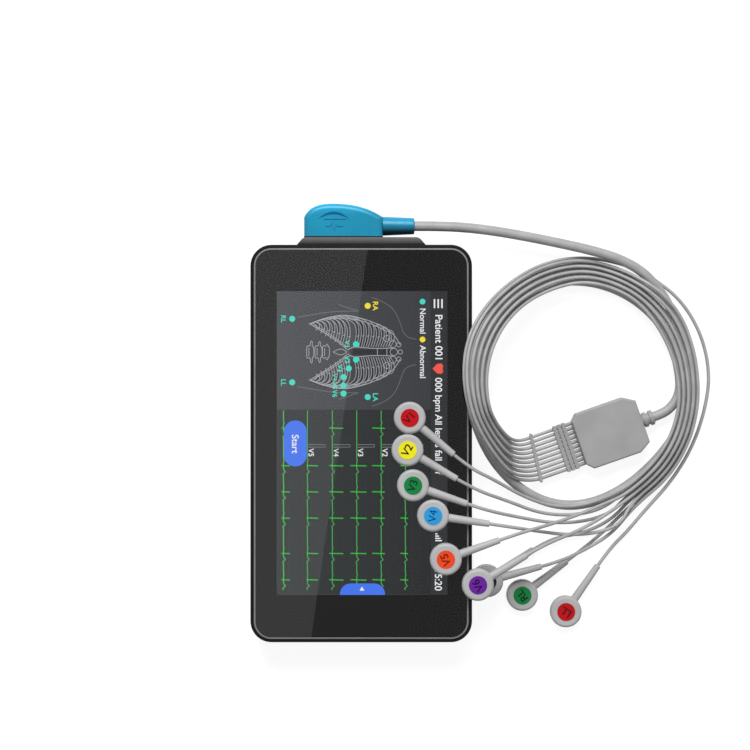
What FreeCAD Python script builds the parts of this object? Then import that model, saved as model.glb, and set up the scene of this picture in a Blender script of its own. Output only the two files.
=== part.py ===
import FreeCAD
import Part
import math
import os

# A hand-held home ECG monitor lying on its back, with its plugged-in ten-lead set beside it.
# X runs across the screen, Y along it, Z out of it; the monitor's back rests on z = 0.
# Millimetres throughout. CUT is how far a cutting shape runs past the face it opens.

# Case
CASE_WIDTH = 89.0
CASE_LENGTH = 159.6
CASE_HEIGHT = 19.0
CASE_CORNER = 8.5
BOSS_RISE = 3.2
FRAME_HEIGHT = 8.3
BACK_ROUND = 6.0
RIM_WIDTH = 1.4
RIM_DROP = 0.3
RIM_ROUND = 0.8
FRAME_WALL = 3.0
REAR_WALL = 2.4
REAR_FLOOR = 2.6
FACE_GAP = 0.1
RUNNING_GAP = 0.3
CUT = 1.0

# Glass and display
GLASS_THICKNESS = 1.1
GLASS_EDGE_ROUND = 0.35
SCREEN_SIDE_MARGIN = 10.25
SCREEN_END_MARGIN = 18.65
DISPLAY_BORDER = 1.0
DISPLAY_LEAD_EDGE = 4.0
DISPLAY_THICKNESS = 1.9
BRACKET_THICKNESS = 0.8
BRACKET_SIDE_LAP = 1.3
BRACKET_END_LAP = 2.5

# Back of the case
CAP_LENGTH = 21.5
CAMERA_INSET = 10.0
CAMERA_RING_RADIUS = 5.2
CAMERA_RING_BORE = 3.4
CAMERA_RING_DROP = 0.15
CAMERA_BODY = 12.0
CAMERA_BODY_THICKNESS = 2.8
CAMERA_LENS_RADIUS = 3.25
CAMERA_LENS_DROP = 0.9
LABEL_RADIUS = 5.75
LABEL_HATCH_GAP = 8.75
LABEL_DEPTH = 0.3
LABEL_THICKNESS = 0.2
SCREW_FROM_SIDE = 12.0
SCREW_FROM_TOP = 29.5
SCREW_FROM_BOTTOM = 22.8
SCREW_SHANK_RADIUS = 1.0
SCREW_HEAD_RADIUS = 1.9
SCREW_HEAD_DEPTH = 1.4
SCREW_HEAD_SEAT = 3.0
SCREW_HOLE_CLEARANCE = 0.15
SCREW_HEAD_CLEARANCE = 0.2
SCREW_THREAD_CLEARANCE = 0.02
SCREW_ENGAGEMENT = 2.2
SCREW_SOCKET_RADIUS = 0.8
SCREW_SOCKET_DEPTH = 0.8
SCREW_BOSS_RADIUS = 2.8
STANDOFF_RADIUS = 2.2

# Battery and its hatch
HATCH_SIDE_MARGIN = 16.75
HATCH_LENGTH = 33.0
HATCH_CORNER = 2.0
HATCH_THICKNESS = 1.4
HATCH_DROP = 0.1
HATCH_FROM_BOTTOM = 42.1
HATCH_LEDGE = 2.0
HATCH_POST_RADIUS = 0.6
HATCH_POST_LENGTH = 2.2
HATCH_POST_INSET = 4.0
HATCH_POST_CLEARANCE = 0.15
NOTCH_RADIUS = 4.0
NOTCH_OFFSET = 1.2
NOTCH_DEPTH = 0.9
BATTERY_TOP_GAP = 1.7
BAY_WALL = 1.2
BAY_TOP_GAP = 0.5

# Speaker and its grille
GRILLE_COLUMNS = 10
GRILLE_ROWS = 5
GRILLE_PITCH_X = 2.49
GRILLE_PITCH_Y = 2.35
GRILLE_HOLE_RADIUS = 0.65
GRILLE_FROM_BOTTOM = 12.4
SPEAKER_WIDTH = 26.0
SPEAKER_LENGTH = 12.6
SPEAKER_THICKNESS = 4.0

# Right-hand side: power button, port flap and record button
SIDE_DROP = 4.8
RECESS_HEIGHT = 4.3
RECESS_DEPTH = 0.8
POWER_START = 28.9
POWER_LENGTH = 22.7
RECORD_START = 107.1
RECORD_LENGTH = 22.5
BUTTON_LENGTH = 15.0
BUTTON_HEIGHT = 2.2
BUTTON_SINK = 0.25
BUTTON_CLEARANCE = 0.15
BUTTON_FLANGE = 0.3
BUTTON_FLANGE_THICKNESS = 0.8
PRESS_TRAVEL = 0.5
FLAP_START = 58.7
FLAP_RECESS_LENGTH = 41.2
FLAP_RECESS_DEPTH = 1.8
FLAP_THICKNESS = 1.1
FLAP_BARREL_RADIUS = 0.6
FLAP_PIN_RADIUS = 0.3
FLAP_PIN_CLEARANCE = 0.05
FLAP_PIN_SEAT = 1.0
FLAP_PIN_SEAT_CLEARANCE = 0.02
FLAP_GRIP_LENGTH = 34.0
FLAP_GRIP_HEIGHT = 1.7
FLAP_GRIP_RISE = 0.25
FLAP_GRIP_OFFSET = 0.95
PORT_WIDTH = 9.0
PORT_HEIGHT = 3.2
PORT_WALL = 0.3
PORT_DEPTH = 5.5
PORT_INSET = 2.0
PORT_TONGUE_THICKNESS = 0.7
PORT_TONGUE_WIDTH = 6.7
SWITCH_LENGTH = 5.0
SWITCH_DEPTH = 2.2
SWITCH_HEIGHT = 2.4
SWITCH_TIP_WIDTH = 1.6
SWITCH_TIP_HEIGHT = 1.0
SWITCH_TIP_LENGTH = 0.6

# Main board
BOARD_THICKNESS = 1.0
BOARD_SIDE_GAP = 2.3
BOARD_FROM_BOTTOM = 15.4

# Socket boss and plug
BOSS_BASE_WIDTH = 52.0
BOSS_TOP_WIDTH = 46.4
BOSS_BOTTOM = 2.5
BOSS_HEIGHT = 14.0
BOSS_CHAMFER = 0.8
BOSS_ROOT = 4.0
PLUG_X = -7.2
PLUG_HEIGHT = 9.5
SOCKET_WIDTH = 26.0
SOCKET_THICKNESS = 7.4
SOCKET_LENGTH = 12.0
SOCKET_FACE_DROP = 0.4
SOCKET_WALL = 0.8
SOCKET_CAVITY_WIDTH = 22.4
SOCKET_CAVITY_DEPTH = 9.0
INSERT_CLEARANCE = 0.35
INSERT_LENGTH = 8.3
INSERT_SEAT = 2.0
PLUG_WIDTH = 31.8
PLUG_SHOULDER = 8.0
PLUG_RISE = 13.4
PLUG_THICKNESS = 10.0
PLUG_ROUND = 2.2
# Points of the plug's dome: share of its width, share of the dome's rise.
PLUG_CROWN = ((0.09, 0.63), (0.42, 1.0), (0.80, 0.60))
BOOT_LENGTH = 12.8
BOOT_BASE_RADIUS = 3.85
BOOT_TIP_RADIUS = 3.3
BOOT_OFFSET_Y = 4.5
BOOT_TIP_ROUND = 0.5

# Trunk, yoke, comb and separator
TRUNK_RADIUS = 2.0
YOKE_X = 102.0
YOKE_Y = 2.9
YOKE_TURN = 19.3
YOKE_HALF_WIDTH = 11.8
YOKE_LEFT = -14.4
YOKE_RIGHT = 13.0
YOKE_THICKNESS = 8.0
YOKE_SPLIT = 4.0
YOKE_LEFT_CHAMFER = 2.6
YOKE_RIGHT_CHAMFER_U = 4.8
YOKE_RIGHT_CHAMFER_V = 2.9
YOKE_EDGE_ROUND = 0.8
YOKE_BOOT_LENGTH = 5.0
YOKE_BOOT_RADIUS = 2.5
YOKE_RINGS = 2
YOKE_RING_RADIUS = 3.1
YOKE_RING_WIDTH = 1.4
YOKE_RING_PITCH = 2.6
COMB_LENGTH = 8.1
COMB_RIBS = (3.5, 5.35, 7.2)
COMB_RIB_THICKNESS = 1.4
COMB_RIB_LENGTH = 19.6
COMB_RIB_HEIGHT = 3.4
COMB_SLEEVE_RADIUS = 0.8
SEPARATOR_U = -32.7
SEPARATOR_TURN = 6.6
SEPARATOR_THICKNESS = 1.2
SEPARATOR_LENGTH = 20.4
SEPARATOR_HEIGHT = 3.4
SEPARATOR_CLEARANCE = 0.35
SEPARATOR_END_ROUND = 0.5

# Leads and their snap clips
LEAD_RADIUS = 0.7
LEAD_PITCH = 1.9
LEAD_HEIGHT = 4.0
LEAD_STRAIGHTS = (6.6, 14.4)
LEAD_RISE = 0.1
SNAP_RADIUS = 6.4
SNAP_HEIGHT = 5.0
SNAP_TOP_ROUND = 1.2
SNAP_BOTTOM_ROUND = 0.4
CAP_RADIUS = 3.65
CAP_DEPTH = 1.0
CAP_RISE = 0.15
RELIEF_LENGTH = 16.4
RELIEF_BASE_RADIUS = 1.75
RELIEF_TIP_RADIUS = 1.3
STUD_SOCKET_RADIUS = 3.2
STUD_BORE_RADIUS = 2.05
STUD_SOCKET_HEIGHT = 2.6
STUD_SOCKET_DROP = 0.4
PILE_GAP = 0.05
APPROACH = 8.5

# Arcs at a cord's corners take up this share of the shorter run beside them.
BEND_SHARE = 0.45

# Straight ends of the trunk at the plug and at the yoke, and its route between them: x, y, z.
TRUNK_PLUG_STRAIGHT = 9.0
TRUNK_YOKE_STRAIGHT = 3.9
TRUNK_FREE = [
    (42.4, 85.7, 9.1), (55.0, 84.2, 8.1), (68.0, 82.0, 7.1),
    (80.5, 79.5, 6.4), (92.5, 76.9, 6.0), (104.2, 73.6, 5.6),
]
# From here on the leads lie over the trunk.
TRUNK_UNDER_LEADS = [
    (114.6, 68.2, 5.0),
    (122.6, 59.6, 3.0), (128.8, 48.4, 2.05), (133.1, 36.0, 2.05), (134.8, 23.0, 2.05),
    (133.0, 10.8, 2.05), (127.0, -0.7, 2.05), (118.7, -10.9, 2.05), (108.8, -19.4, 2.05),
    (97.4, -25.5, 2.05), (85.5, -27.8, 2.05), (74.0, -25.7, 3.2), (64.0, -20.0, 6.2),
    (55.2, -11.5, 11.8), (49.0, -1.6, 17.6), (44.9, 9.2, 21.7), (43.0, 20.7, 21.7),
    (43.6, 32.0, 21.6), (47.4, 42.6, 20.1), (53.6, 51.4, 14.8), (62.2, 58.3, 9.0),
    (72.3, 62.8, 4.8), (83.7, 64.6, 2.6), (95.0, 63.9, 2.05), (105.8, 60.3, 2.05),
    (115.6, 54.0, 2.05), (123.4, 45.4, 2.05), (127.9, 36.0, 2.05), (129.5, 28.8, 2.1),
    (130.2, 23.02, 2.4), (129.8, 19.11, 2.8), (128.34, 15.48, 3.3), (125.88, 12.41, 3.75),
]

# The lead bundle's inner and outer edges round the coil with the height it rests on at each,
# and how far its upper leads lie over its lower ones.
COIL_STATIONS = [
    ((59.5, 0.3, 7.3), (59.8, -15.8, 11.8), 3.1),
    ((54.2, 6.4, 13.4), (48.3, -0.6, 22.2), 3.2),
    ((50.8, 13.1, 16.4), (42.9, 11.5, 19.2), 2.6),
    ((49.7, 23.9, 17.6), (40.6, 25.5, 19.3), 2.3),
    ((51.4, 34.7, 17.0), (42.1, 39.5, 19.3), 2.3),
    ((56.9, 46.0, 14.0), (48.5, 52.0, 17.0), 2.3),
    ((66.2, 55.4, 9.0), (59.3, 63.1, 11.5), 2.3),
    ((77.9, 61.3, 4.0), (73.8, 71.5, 5.0), 2.3),
    ((90.3, 64.0, 0.8), (90.3, 74.4, 0.8), 2.3),
    ((102.7, 61.2, 0.0), (105.3, 70.6, 0.0), 2.3),
    ((112.9, 55.3, 0.0), (119.0, 63.0, 0.0), 2.4),
    ((121.0, 45.1, 0.0), (130.0, 52.8, 0.0), 2.3),
    ((126.3, 34.1, 0.0), (135.9, 38.0, 0.0), 2.3),
    ((128.8, 23.0, 0.0), (138.0, 23.0, 0.0), 2.3),
    ((128.8, 12.0, 5.8), (137.4, 10.2, 0.0), 2.3),
    ((125.5, 0.6, 0.0), (133.9, -3.4, 0.0), 2.3),
    ((118.6, -10.0, 0.0), (125.9, -17.0, 0.0), 2.3),
    ((106.5, -20.8, 0.0), (111.4, -28.9, 0.0), 2.3),
]
DRAPE_FROM = 2
DRAPE_LIFT = 4.1
DRAPE_FALL = 0.75
DRAPE_FLAT = 1.0
# The one lead that strays outside the bundle, by station.
STRAY_LEAD = "ll"
STRAY_POINTS = {
    9: (107.5, 71.4, 0.8), 10: (120.0, 65.2, 0.8), 11: (131.0, 56.4, 0.8),
    12: (139.2, 42.5, 0.8), 13: (142.6, 26.5, 0.8), 14: (140.6, 11.8, 0.8),
    15: (135.4, -3.6, 0.8), 16: (126.8, -17.6, 0.8), 17: (115.2, -30.2, 0.8),
}

# Each lead's place in the comb, its level in the bundle, its snap's place, direction and seat,
# and the points of its own from the coil to its snap.
LEADS = {
    "v1": (0, 1, (19.4, 8.8), -39.9, "glass",
           [(91.0, -27.4, 5.2), (77.8, -27.7, 7.5), (65.3, -23.2, 12.5), (53.6, -16.2, 18.5)]),
    "v2": (1, 0, (18.5, -4.1), -30.4, "glass",
           [(97.2, -29.2, 4.5), (84.0, -31.4, 6.0), (71.2, -29.8, 9.5), (59.8, -25.1, 15.0)]),
    "v5": (2, 1, (33.8, -47.7), 19.4, "glass",
           [(99.3, -26.1, 8.0), (88.5, -30.4, 10.5), (76.8, -34.1, 15.0)]),
    "v3": (3, 0, (20.7, -18.2), -18.8, "glass",
           [(101.5, -30.6, 3.5), (90.6, -33.8, 5.0), (77.3, -34.2, 8.5), (64.4, -31.6, 13.9)]),
    "v6": (4, 1, (46.6, -57.9), 31.0, "glass",
           [(96.5, -32.5, 9.5), (86.2, -37.6, 13.5)]),
    "ra": (5, 0, (51.1, -57.8), 33.0, "table",
           [(102.2, -33.0, 3.0), (90.8, -38.7, 2.5)]),
    "v4": (6, 1, (28.7, -30.3), -8.3, "glass",
           [(105.5, -34.8, 7.0), (96.0, -38.2, 7.6), (84.2, -39.0, 9.4), (72.1, -37.3, 13.0)]),
    "rl": (7, 0, (65.6, -63.9), 37.1, "table",
           [(100.4, -36.9, 1.2)]),
    "la": (8, 1, (51.1, -57.8), 15.2, "pile",
           [(102.3, -38.6, 4.6), (91.7, -44.7, 6.2)]),
    "ll": (9, 0, (83.4, -70.6), 55.0, "table",
           [(108.2, -38.6, 1.0)]),
}
CAP_GROUPS = {
    "caps_red": ("v1", "ll"),
    "cap_yellow": ("v2",),
    "caps_green": ("v3", "rl"),
    "cap_blue": ("v4",),
    "cap_orange": ("v5",),
    "cap_purple": ("v6",),
    "cap_white": ("ra",),
    "cap_black": ("la",),
}

# Worked out from the sizes above
CASE_Y = -BOSS_RISE / 2
CASE_TOP = CASE_Y + CASE_LENGTH / 2
CASE_BOTTOM = CASE_Y - CASE_LENGTH / 2
CASE_SIDE = CASE_WIDTH / 2
PARTING_HEIGHT = CASE_HEIGHT - FRAME_HEIGHT
SIDE_HEIGHT = CASE_HEIGHT - SIDE_DROP
SCREEN_WIDTH = CASE_WIDTH - 2 * SCREEN_SIDE_MARGIN
SCREEN_LENGTH = CASE_LENGTH - 2 * SCREEN_END_MARGIN
BOSS_FACE = CASE_TOP + BOSS_RISE
GLASS_SEAT = CASE_HEIGHT - GLASS_THICKNESS
SHELF_BOTTOM = GLASS_SEAT - DISPLAY_THICKNESS
BRACKET_BOTTOM = SHELF_BOTTOM - BRACKET_THICKNESS
BOARD_TOP = SIDE_HEIGHT - PORT_HEIGHT / 2
BOARD_BOTTOM = BOARD_TOP - BOARD_THICKNESS
BAY_TOP = BOARD_BOTTOM - BAY_TOP_GAP
HATCH_WIDTH = CASE_WIDTH - 2 * HATCH_SIDE_MARGIN
HATCH_Y = CASE_BOTTOM + HATCH_FROM_BOTTOM
HATCH_TOP = HATCH_DROP + HATCH_THICKNESS
GRILLE_Y = CASE_BOTTOM + GRILLE_FROM_BOTTOM
LABEL_Y = HATCH_Y + HATCH_LENGTH / 2 + LABEL_HATCH_GAP + LABEL_RADIUS
DISPLAY_WIDTH = SCREEN_WIDTH + 2 * DISPLAY_BORDER
DISPLAY_LENGTH = SCREEN_LENGTH + 2 * DISPLAY_LEAD_EDGE
SOCKET_FACE = BOSS_FACE - SOCKET_FACE_DROP
SOCKET_BACK = SOCKET_FACE - SOCKET_LENGTH
PLUG_FACE = BOSS_FACE + RUNNING_GAP
PLUG_SIDE = PLUG_X + PLUG_WIDTH / 2
BOOT_Y = PLUG_FACE + BOOT_OFFSET_Y
BOOT_TIP = PLUG_SIDE + BOOT_LENGTH
FRAME_INSIDE = CASE_SIDE - FRAME_WALL
RECESS_BOTTOM = SIDE_HEIGHT - RECESS_HEIGHT / 2
FLAP_BACK = CASE_SIDE - FLAP_RECESS_DEPTH
FLAP_AXIS_X = FLAP_BACK + RUNNING_GAP + FLAP_BARREL_RADIUS
FLAP_AXIS_Z = RECESS_BOTTOM + RUNNING_GAP + FLAP_BARREL_RADIUS
FLAP_Y = CASE_TOP - FLAP_START - FLAP_RECESS_LENGTH / 2
FLAP_LENGTH = FLAP_RECESS_LENGTH - 2 * RUNNING_GAP
CAMERA_Y = CASE_TOP - CAMERA_INSET
COMB_END = YOKE_LEFT - COMB_LENGTH
SNAP_SEATS = {
    "glass": CASE_HEIGHT + RUNNING_GAP,
    "table": 0.0,
    "pile": SNAP_HEIGHT + CAP_RISE + PILE_GAP,
}
SNAP_MIDDLE = SNAP_HEIGHT / 2
UP = FreeCAD.Vector(0, 0, 1)
NEAR = 1e-4


def vector(point):
    """A FreeCAD vector from three numbers."""
    return FreeCAD.Vector(*point)


def block(x_range, y_range, z_range):
    """A box between two limits on each axis."""
    size = [high - low for low, high in (x_range, y_range, z_range)]
    return Part.makeBox(*size, FreeCAD.Vector(x_range[0], y_range[0], z_range[0]))


def around(centre, size):
    """The limits of a stretch of one size about its centre."""
    return (centre - size / 2, centre + size / 2)


def post(x, y, z_range, radius):
    """An upright cylinder."""
    return Part.makeCylinder(radius, z_range[1] - z_range[0], FreeCAD.Vector(x, y, z_range[0]))


def plate(width, length, corner, centre, z_range):
    """An upright slab with rounded corners."""
    slab = block(around(centre[0], width), around(centre[1], length), z_range)
    upright = [e for e in slab.Edges if e.BoundBox.ZLength > NEAR and e.BoundBox.XLength < NEAR
               and e.BoundBox.YLength < NEAR]
    return slab.makeFillet(corner, upright)


def edges_at(shape, height):
    """The edges of a shape that lie flat at one height."""
    return [
        e for e in shape.Edges
        if abs(e.BoundBox.ZMin - height) < NEAR and abs(e.BoundBox.ZMax - height) < NEAR
    ]


def prism(outline, z_range):
    """A straight prism over a closed outline of flat points."""
    points = [FreeCAD.Vector(x, y, z_range[0]) for x, y in outline]
    face = Part.Face(Part.makePolygon(points + points[:1]))
    return face.extrude(UP * (z_range[1] - z_range[0]))


def fused(shapes):
    """One solid from several that touch."""
    whole = shapes[0].fuse(shapes[1:])
    return whole.removeSplitter()


# ---------------------------------------------------------------- monitor


def rear_outline(z_range):
    """The case's full outline, before anything is cut from it."""
    return plate(CASE_WIDTH, CASE_LENGTH, CASE_CORNER, (0, CASE_Y), z_range)


def rounded_back():
    """The outer shape of the rear shell, with its rounded back edge."""
    body = rear_outline((0, PARTING_HEIGHT))
    return body.makeFillet(BACK_ROUND, edges_at(body, 0))


def screw_places():
    """The four places of the case screws."""
    side = CASE_SIDE - SCREW_FROM_SIDE
    return [(x, y) for x in (-side, side)
            for y in (CASE_BOTTOM + SCREW_FROM_BOTTOM, CASE_TOP - SCREW_FROM_TOP)]


def socket_hole():
    """The opening through wall and boss that the socket passes through."""
    wide = SOCKET_WIDTH + 2 * FACE_GAP
    tall = SOCKET_THICKNESS + 2 * FACE_GAP
    y_range = (SOCKET_BACK, BOSS_FACE + CUT)
    return block(around(PLUG_X, wide), y_range, around(PLUG_HEIGHT, tall))


def grille_holes():
    """The rows of sound holes in front of the speaker."""
    holes = []
    for column in range(GRILLE_COLUMNS):
        for row in range(GRILLE_ROWS):
            x = (column - (GRILLE_COLUMNS - 1) / 2) * GRILLE_PITCH_X
            y = GRILLE_Y + (row - (GRILLE_ROWS - 1) / 2) * GRILLE_PITCH_Y
            holes.append(post(x, y, (-CUT, REAR_FLOOR + CUT), GRILLE_HOLE_RADIUS))
    return holes


def hatch_opening(clear=0.0):
    """Width and length of the hole inside the hatch's ledge."""
    return (
        HATCH_WIDTH + 2 * RUNNING_GAP - 2 * HATCH_LEDGE - 2 * clear,
        HATCH_LENGTH + 2 * RUNNING_GAP - 2 * HATCH_LEDGE - 2 * clear,
    )


def hatch_posts(radius, z_range):
    """The four snap posts of the hatch, or the holes for them."""
    x = HATCH_WIDTH / 2 + RUNNING_GAP - HATCH_LEDGE / 2
    y = HATCH_LENGTH / 2 - HATCH_POST_INSET
    return [
        post(sx * x, HATCH_Y + sy * y, z_range, radius) for sx in (-1, 1) for sy in (-1, 1)
    ]


def rear_shell():
    """Both rear mouldings in one piece, before the seam parts them."""
    inside = plate(
        CASE_WIDTH - 2 * REAR_WALL, CASE_LENGTH - 2 * REAR_WALL, CASE_CORNER - REAR_WALL,
        (0, CASE_Y), (REAR_FLOOR, PARTING_HEIGHT + CUT),
    )
    inside = inside.makeFillet(BACK_ROUND - REAR_WALL, edges_at(inside, REAR_FLOOR))
    shell = rounded_back().cut(inside)
    wide, long = hatch_opening()
    bay = block(around(0, wide + 2 * BAY_WALL), around(HATCH_Y, long + 2 * BAY_WALL),
                (REAR_FLOOR / 2, BAY_TOP))
    bosses = [
        post(x, y, (REAR_FLOOR / 2, BOARD_BOTTOM), SCREW_BOSS_RADIUS) for x, y in screw_places()
    ]
    shell = fused([shell, bay] + bosses)
    pocket_depth = HATCH_TOP + RUNNING_GAP
    cuts = [
        block(around(0, wide), around(HATCH_Y, long), (-CUT, BAY_TOP + CUT)),
        plate(HATCH_WIDTH + 2 * RUNNING_GAP, HATCH_LENGTH + 2 * RUNNING_GAP,
              HATCH_CORNER + RUNNING_GAP, (0, HATCH_Y), (-CUT, pocket_depth)),
        post(0, HATCH_Y - HATCH_LENGTH / 2 - NOTCH_OFFSET, (-CUT, NOTCH_DEPTH), NOTCH_RADIUS),
        post(0, LABEL_Y, (-CUT, LABEL_DEPTH), LABEL_RADIUS + FACE_GAP),
        post(0, CAMERA_Y, (-CUT, REAR_FLOOR + CUT), CAMERA_RING_RADIUS + FACE_GAP),
        camera_body(FACE_GAP),
        socket_hole(),
    ]
    post_top = HATCH_TOP + HATCH_POST_LENGTH + RUNNING_GAP
    cuts += hatch_posts(HATCH_POST_RADIUS + HATCH_POST_CLEARANCE, (0, post_top))
    for x, y in screw_places():
        head = SCREW_HEAD_RADIUS + SCREW_HEAD_CLEARANCE
        cuts.append(post(x, y, (-CUT, SCREW_HEAD_SEAT), head))
        shank = SCREW_SHANK_RADIUS + SCREW_HOLE_CLEARANCE
        cuts.append(post(x, y, (0, BOARD_BOTTOM + CUT), shank))
    return shell.cut(cuts + grille_holes())


def split_rear(shell):
    """The rear cover and the top cap, parted at the cap's seam."""
    seam = CASE_TOP - CAP_LENGTH
    far = CASE_LENGTH
    below = block((-far, far), (-far, seam), (-far, far))
    above = block((-far, far), (seam, far), (-far, far))
    return shell.common(below), shell.common(above)


def side_recess(start, length, depth):
    """A shallow recess in the right-hand wall, measured down from the case's top."""
    y_range = (CASE_TOP - start - length, CASE_TOP - start)
    return block((CASE_SIDE - depth, CASE_SIDE + CUT), y_range, around(SIDE_HEIGHT, RECESS_HEIGHT))


def button_y(start, length):
    """The middle of a side recess along the case."""
    return CASE_TOP - start - length / 2


def front_frame():
    """The upper moulding: side walls and the shelf that the glass rests on."""
    body = rear_outline((PARTING_HEIGHT, CASE_HEIGHT - RIM_DROP))
    body = body.makeFillet(RIM_ROUND, edges_at(body, CASE_HEIGHT - RIM_DROP))
    inside = plate(
        CASE_WIDTH - 2 * FRAME_WALL, CASE_LENGTH - 2 * FRAME_WALL, CASE_CORNER - FRAME_WALL,
        (0, CASE_Y), (PARTING_HEIGHT - CUT, SHELF_BOTTOM),
    )
    window = block(
        around(0, DISPLAY_WIDTH + 2 * FACE_GAP), around(CASE_Y, DISPLAY_LENGTH + 2 * FACE_GAP),
        (SHELF_BOTTOM - CUT, GLASS_SEAT + CUT),
    )
    glass = plate(
        CASE_WIDTH - 2 * RIM_WIDTH + 2 * FACE_GAP, CASE_LENGTH - 2 * RIM_WIDTH + 2 * FACE_GAP,
        CASE_CORNER - RIM_WIDTH + FACE_GAP, (0, CASE_Y), (GLASS_SEAT, CASE_HEIGHT + CUT),
    )
    cuts = [inside, window, glass, socket_hole()]
    for start, length in ((POWER_START, POWER_LENGTH), (RECORD_START, RECORD_LENGTH)):
        cuts.append(side_recess(start, length, RECESS_DEPTH))
        cuts.append(block(
            (FRAME_INSIDE - CUT, CASE_SIDE),
            around(button_y(start, length), BUTTON_LENGTH + 2 * BUTTON_CLEARANCE),
            around(SIDE_HEIGHT, BUTTON_HEIGHT + 2 * BUTTON_CLEARANCE),
        ))
    cuts.append(side_recess(FLAP_START, FLAP_RECESS_LENGTH, FLAP_RECESS_DEPTH))
    cuts.append(block(
        (FRAME_INSIDE - CUT, CASE_SIDE), around(FLAP_Y, PORT_WIDTH + 2 * FACE_GAP),
        around(SIDE_HEIGHT, PORT_HEIGHT + 2 * FACE_GAP),
    ))
    cuts.append(flap_pin(FLAP_PIN_SEAT_CLEARANCE))
    return body.cut(cuts)


def cover_glass():
    """The glass over the display, flush in its rim."""
    glass = plate(
        CASE_WIDTH - 2 * RIM_WIDTH, CASE_LENGTH - 2 * RIM_WIDTH, CASE_CORNER - RIM_WIDTH,
        (0, CASE_Y), (GLASS_SEAT, CASE_HEIGHT),
    )
    return glass.makeFillet(GLASS_EDGE_ROUND, edges_at(glass, CASE_HEIGHT))


def display_panel():
    """The display under the glass."""
    return block(
        around(0, DISPLAY_WIDTH), around(CASE_Y, DISPLAY_LENGTH), (SHELF_BOTTOM, GLASS_SEAT)
    )


def display_bracket():
    """The metal plate behind the display, with the standoffs that hold the board."""
    sheet = block(
        around(0, DISPLAY_WIDTH + 2 * BRACKET_SIDE_LAP),
        around(CASE_Y, DISPLAY_LENGTH + 2 * BRACKET_END_LAP), (BRACKET_BOTTOM, SHELF_BOTTOM),
    )
    standoffs = [
        post(x, y, (BOARD_TOP, BRACKET_BOTTOM), STANDOFF_RADIUS) for x, y in screw_places()
    ]
    bores = [
        post(x, y, (BOARD_TOP - CUT, BRACKET_BOTTOM + BRACKET_THICKNESS / 2),
             SCREW_SHANK_RADIUS + SCREW_THREAD_CLEARANCE)
        for x, y in screw_places()
    ]
    return fused([sheet] + standoffs).cut(bores)


def case_screws():
    """The four screws that clamp rear cover, board and bracket together."""
    screws = []
    for x, y in screw_places():
        low = SCREW_HEAD_SEAT - SCREW_HEAD_DEPTH
        head = post(x, y, (low, SCREW_HEAD_SEAT), SCREW_HEAD_RADIUS)
        shank = post(x, y, (SCREW_HEAD_SEAT, BOARD_TOP + SCREW_ENGAGEMENT), SCREW_SHANK_RADIUS)
        key = post(x, y, (low - CUT, low + SCREW_SOCKET_DEPTH), SCREW_SOCKET_RADIUS)
        screws.append(fused([head, shank]).cut(key))
    return Part.makeCompound(screws)


def main_board():
    """The circuit board, drilled for the case screws."""
    board = block(around(0, 2 * (FRAME_INSIDE - BOARD_SIDE_GAP)),
                  (CASE_BOTTOM + BOARD_FROM_BOTTOM, SOCKET_BACK), (BOARD_BOTTOM, BOARD_TOP))
    radius = SCREW_SHANK_RADIUS + SCREW_HOLE_CLEARANCE
    holes = [
        post(x, y, (BOARD_BOTTOM - CUT, BOARD_TOP + CUT), radius) for x, y in screw_places()
    ]
    return board.cut(holes)


def battery_hatch():
    """The cover of the battery bay, with its four snap posts."""
    door = plate(HATCH_WIDTH, HATCH_LENGTH, HATCH_CORNER, (0, HATCH_Y), (HATCH_DROP, HATCH_TOP))
    root = HATCH_DROP + HATCH_THICKNESS / 2
    posts = hatch_posts(HATCH_POST_RADIUS, (root, HATCH_TOP + HATCH_POST_LENGTH))
    return fused([door] + posts)


def battery_pack():
    """The flat cell in its bay, just clear of the hatch."""
    wide, long = hatch_opening(RUNNING_GAP)
    return block(around(0, wide), around(HATCH_Y, long),
                 (HATCH_TOP + RUNNING_GAP, BAY_TOP - BATTERY_TOP_GAP))


def speaker():
    """The speaker behind its grille."""
    return block(around(0, SPEAKER_WIDTH), around(GRILLE_Y, SPEAKER_LENGTH),
                 (REAR_FLOOR, REAR_FLOOR + SPEAKER_THICKNESS))


def camera_ring():
    """The bezel round the rear camera's lens."""
    z_range = (CAMERA_RING_DROP, REAR_FLOOR)
    ring = post(0, CAMERA_Y, z_range, CAMERA_RING_RADIUS)
    return ring.cut(post(0, CAMERA_Y, (-CUT, REAR_FLOOR + CUT), CAMERA_RING_BORE))


def camera_body(clear=0.0):
    """The square body of the camera behind its ring, or the seat cut for it."""
    size = CAMERA_BODY + 2 * clear
    return block(around(0, size), around(CAMERA_Y, size),
                 (REAR_FLOOR, REAR_FLOOR + CAMERA_BODY_THICKNESS + clear))


def camera_module():
    """The camera's body inside the case and its lens in the ring."""
    lens = post(0, CAMERA_Y, (CAMERA_LENS_DROP, REAR_FLOOR), CAMERA_LENS_RADIUS)
    return fused([camera_body(), lens])


def round_label():
    """The blank round label on the back."""
    return post(0, LABEL_Y, (LABEL_DEPTH - LABEL_THICKNESS, LABEL_DEPTH), LABEL_RADIUS)


def side_button(start, length):
    """A bar button in its recess, kept in by a flange behind the wall."""
    y = button_y(start, length)
    flange_face = FRAME_INSIDE - RUNNING_GAP
    bar = block((flange_face - BUTTON_FLANGE_THICKNESS, CASE_SIDE - BUTTON_SINK),
                around(y, BUTTON_LENGTH), around(SIDE_HEIGHT, BUTTON_HEIGHT))
    flange = block(
        (flange_face - BUTTON_FLANGE_THICKNESS, flange_face),
        around(y, BUTTON_LENGTH + 2 * BUTTON_FLANGE + 2 * BUTTON_CLEARANCE),
        around(SIDE_HEIGHT, BUTTON_HEIGHT + 2 * BUTTON_FLANGE),
    )
    return fused([bar, flange])


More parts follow.
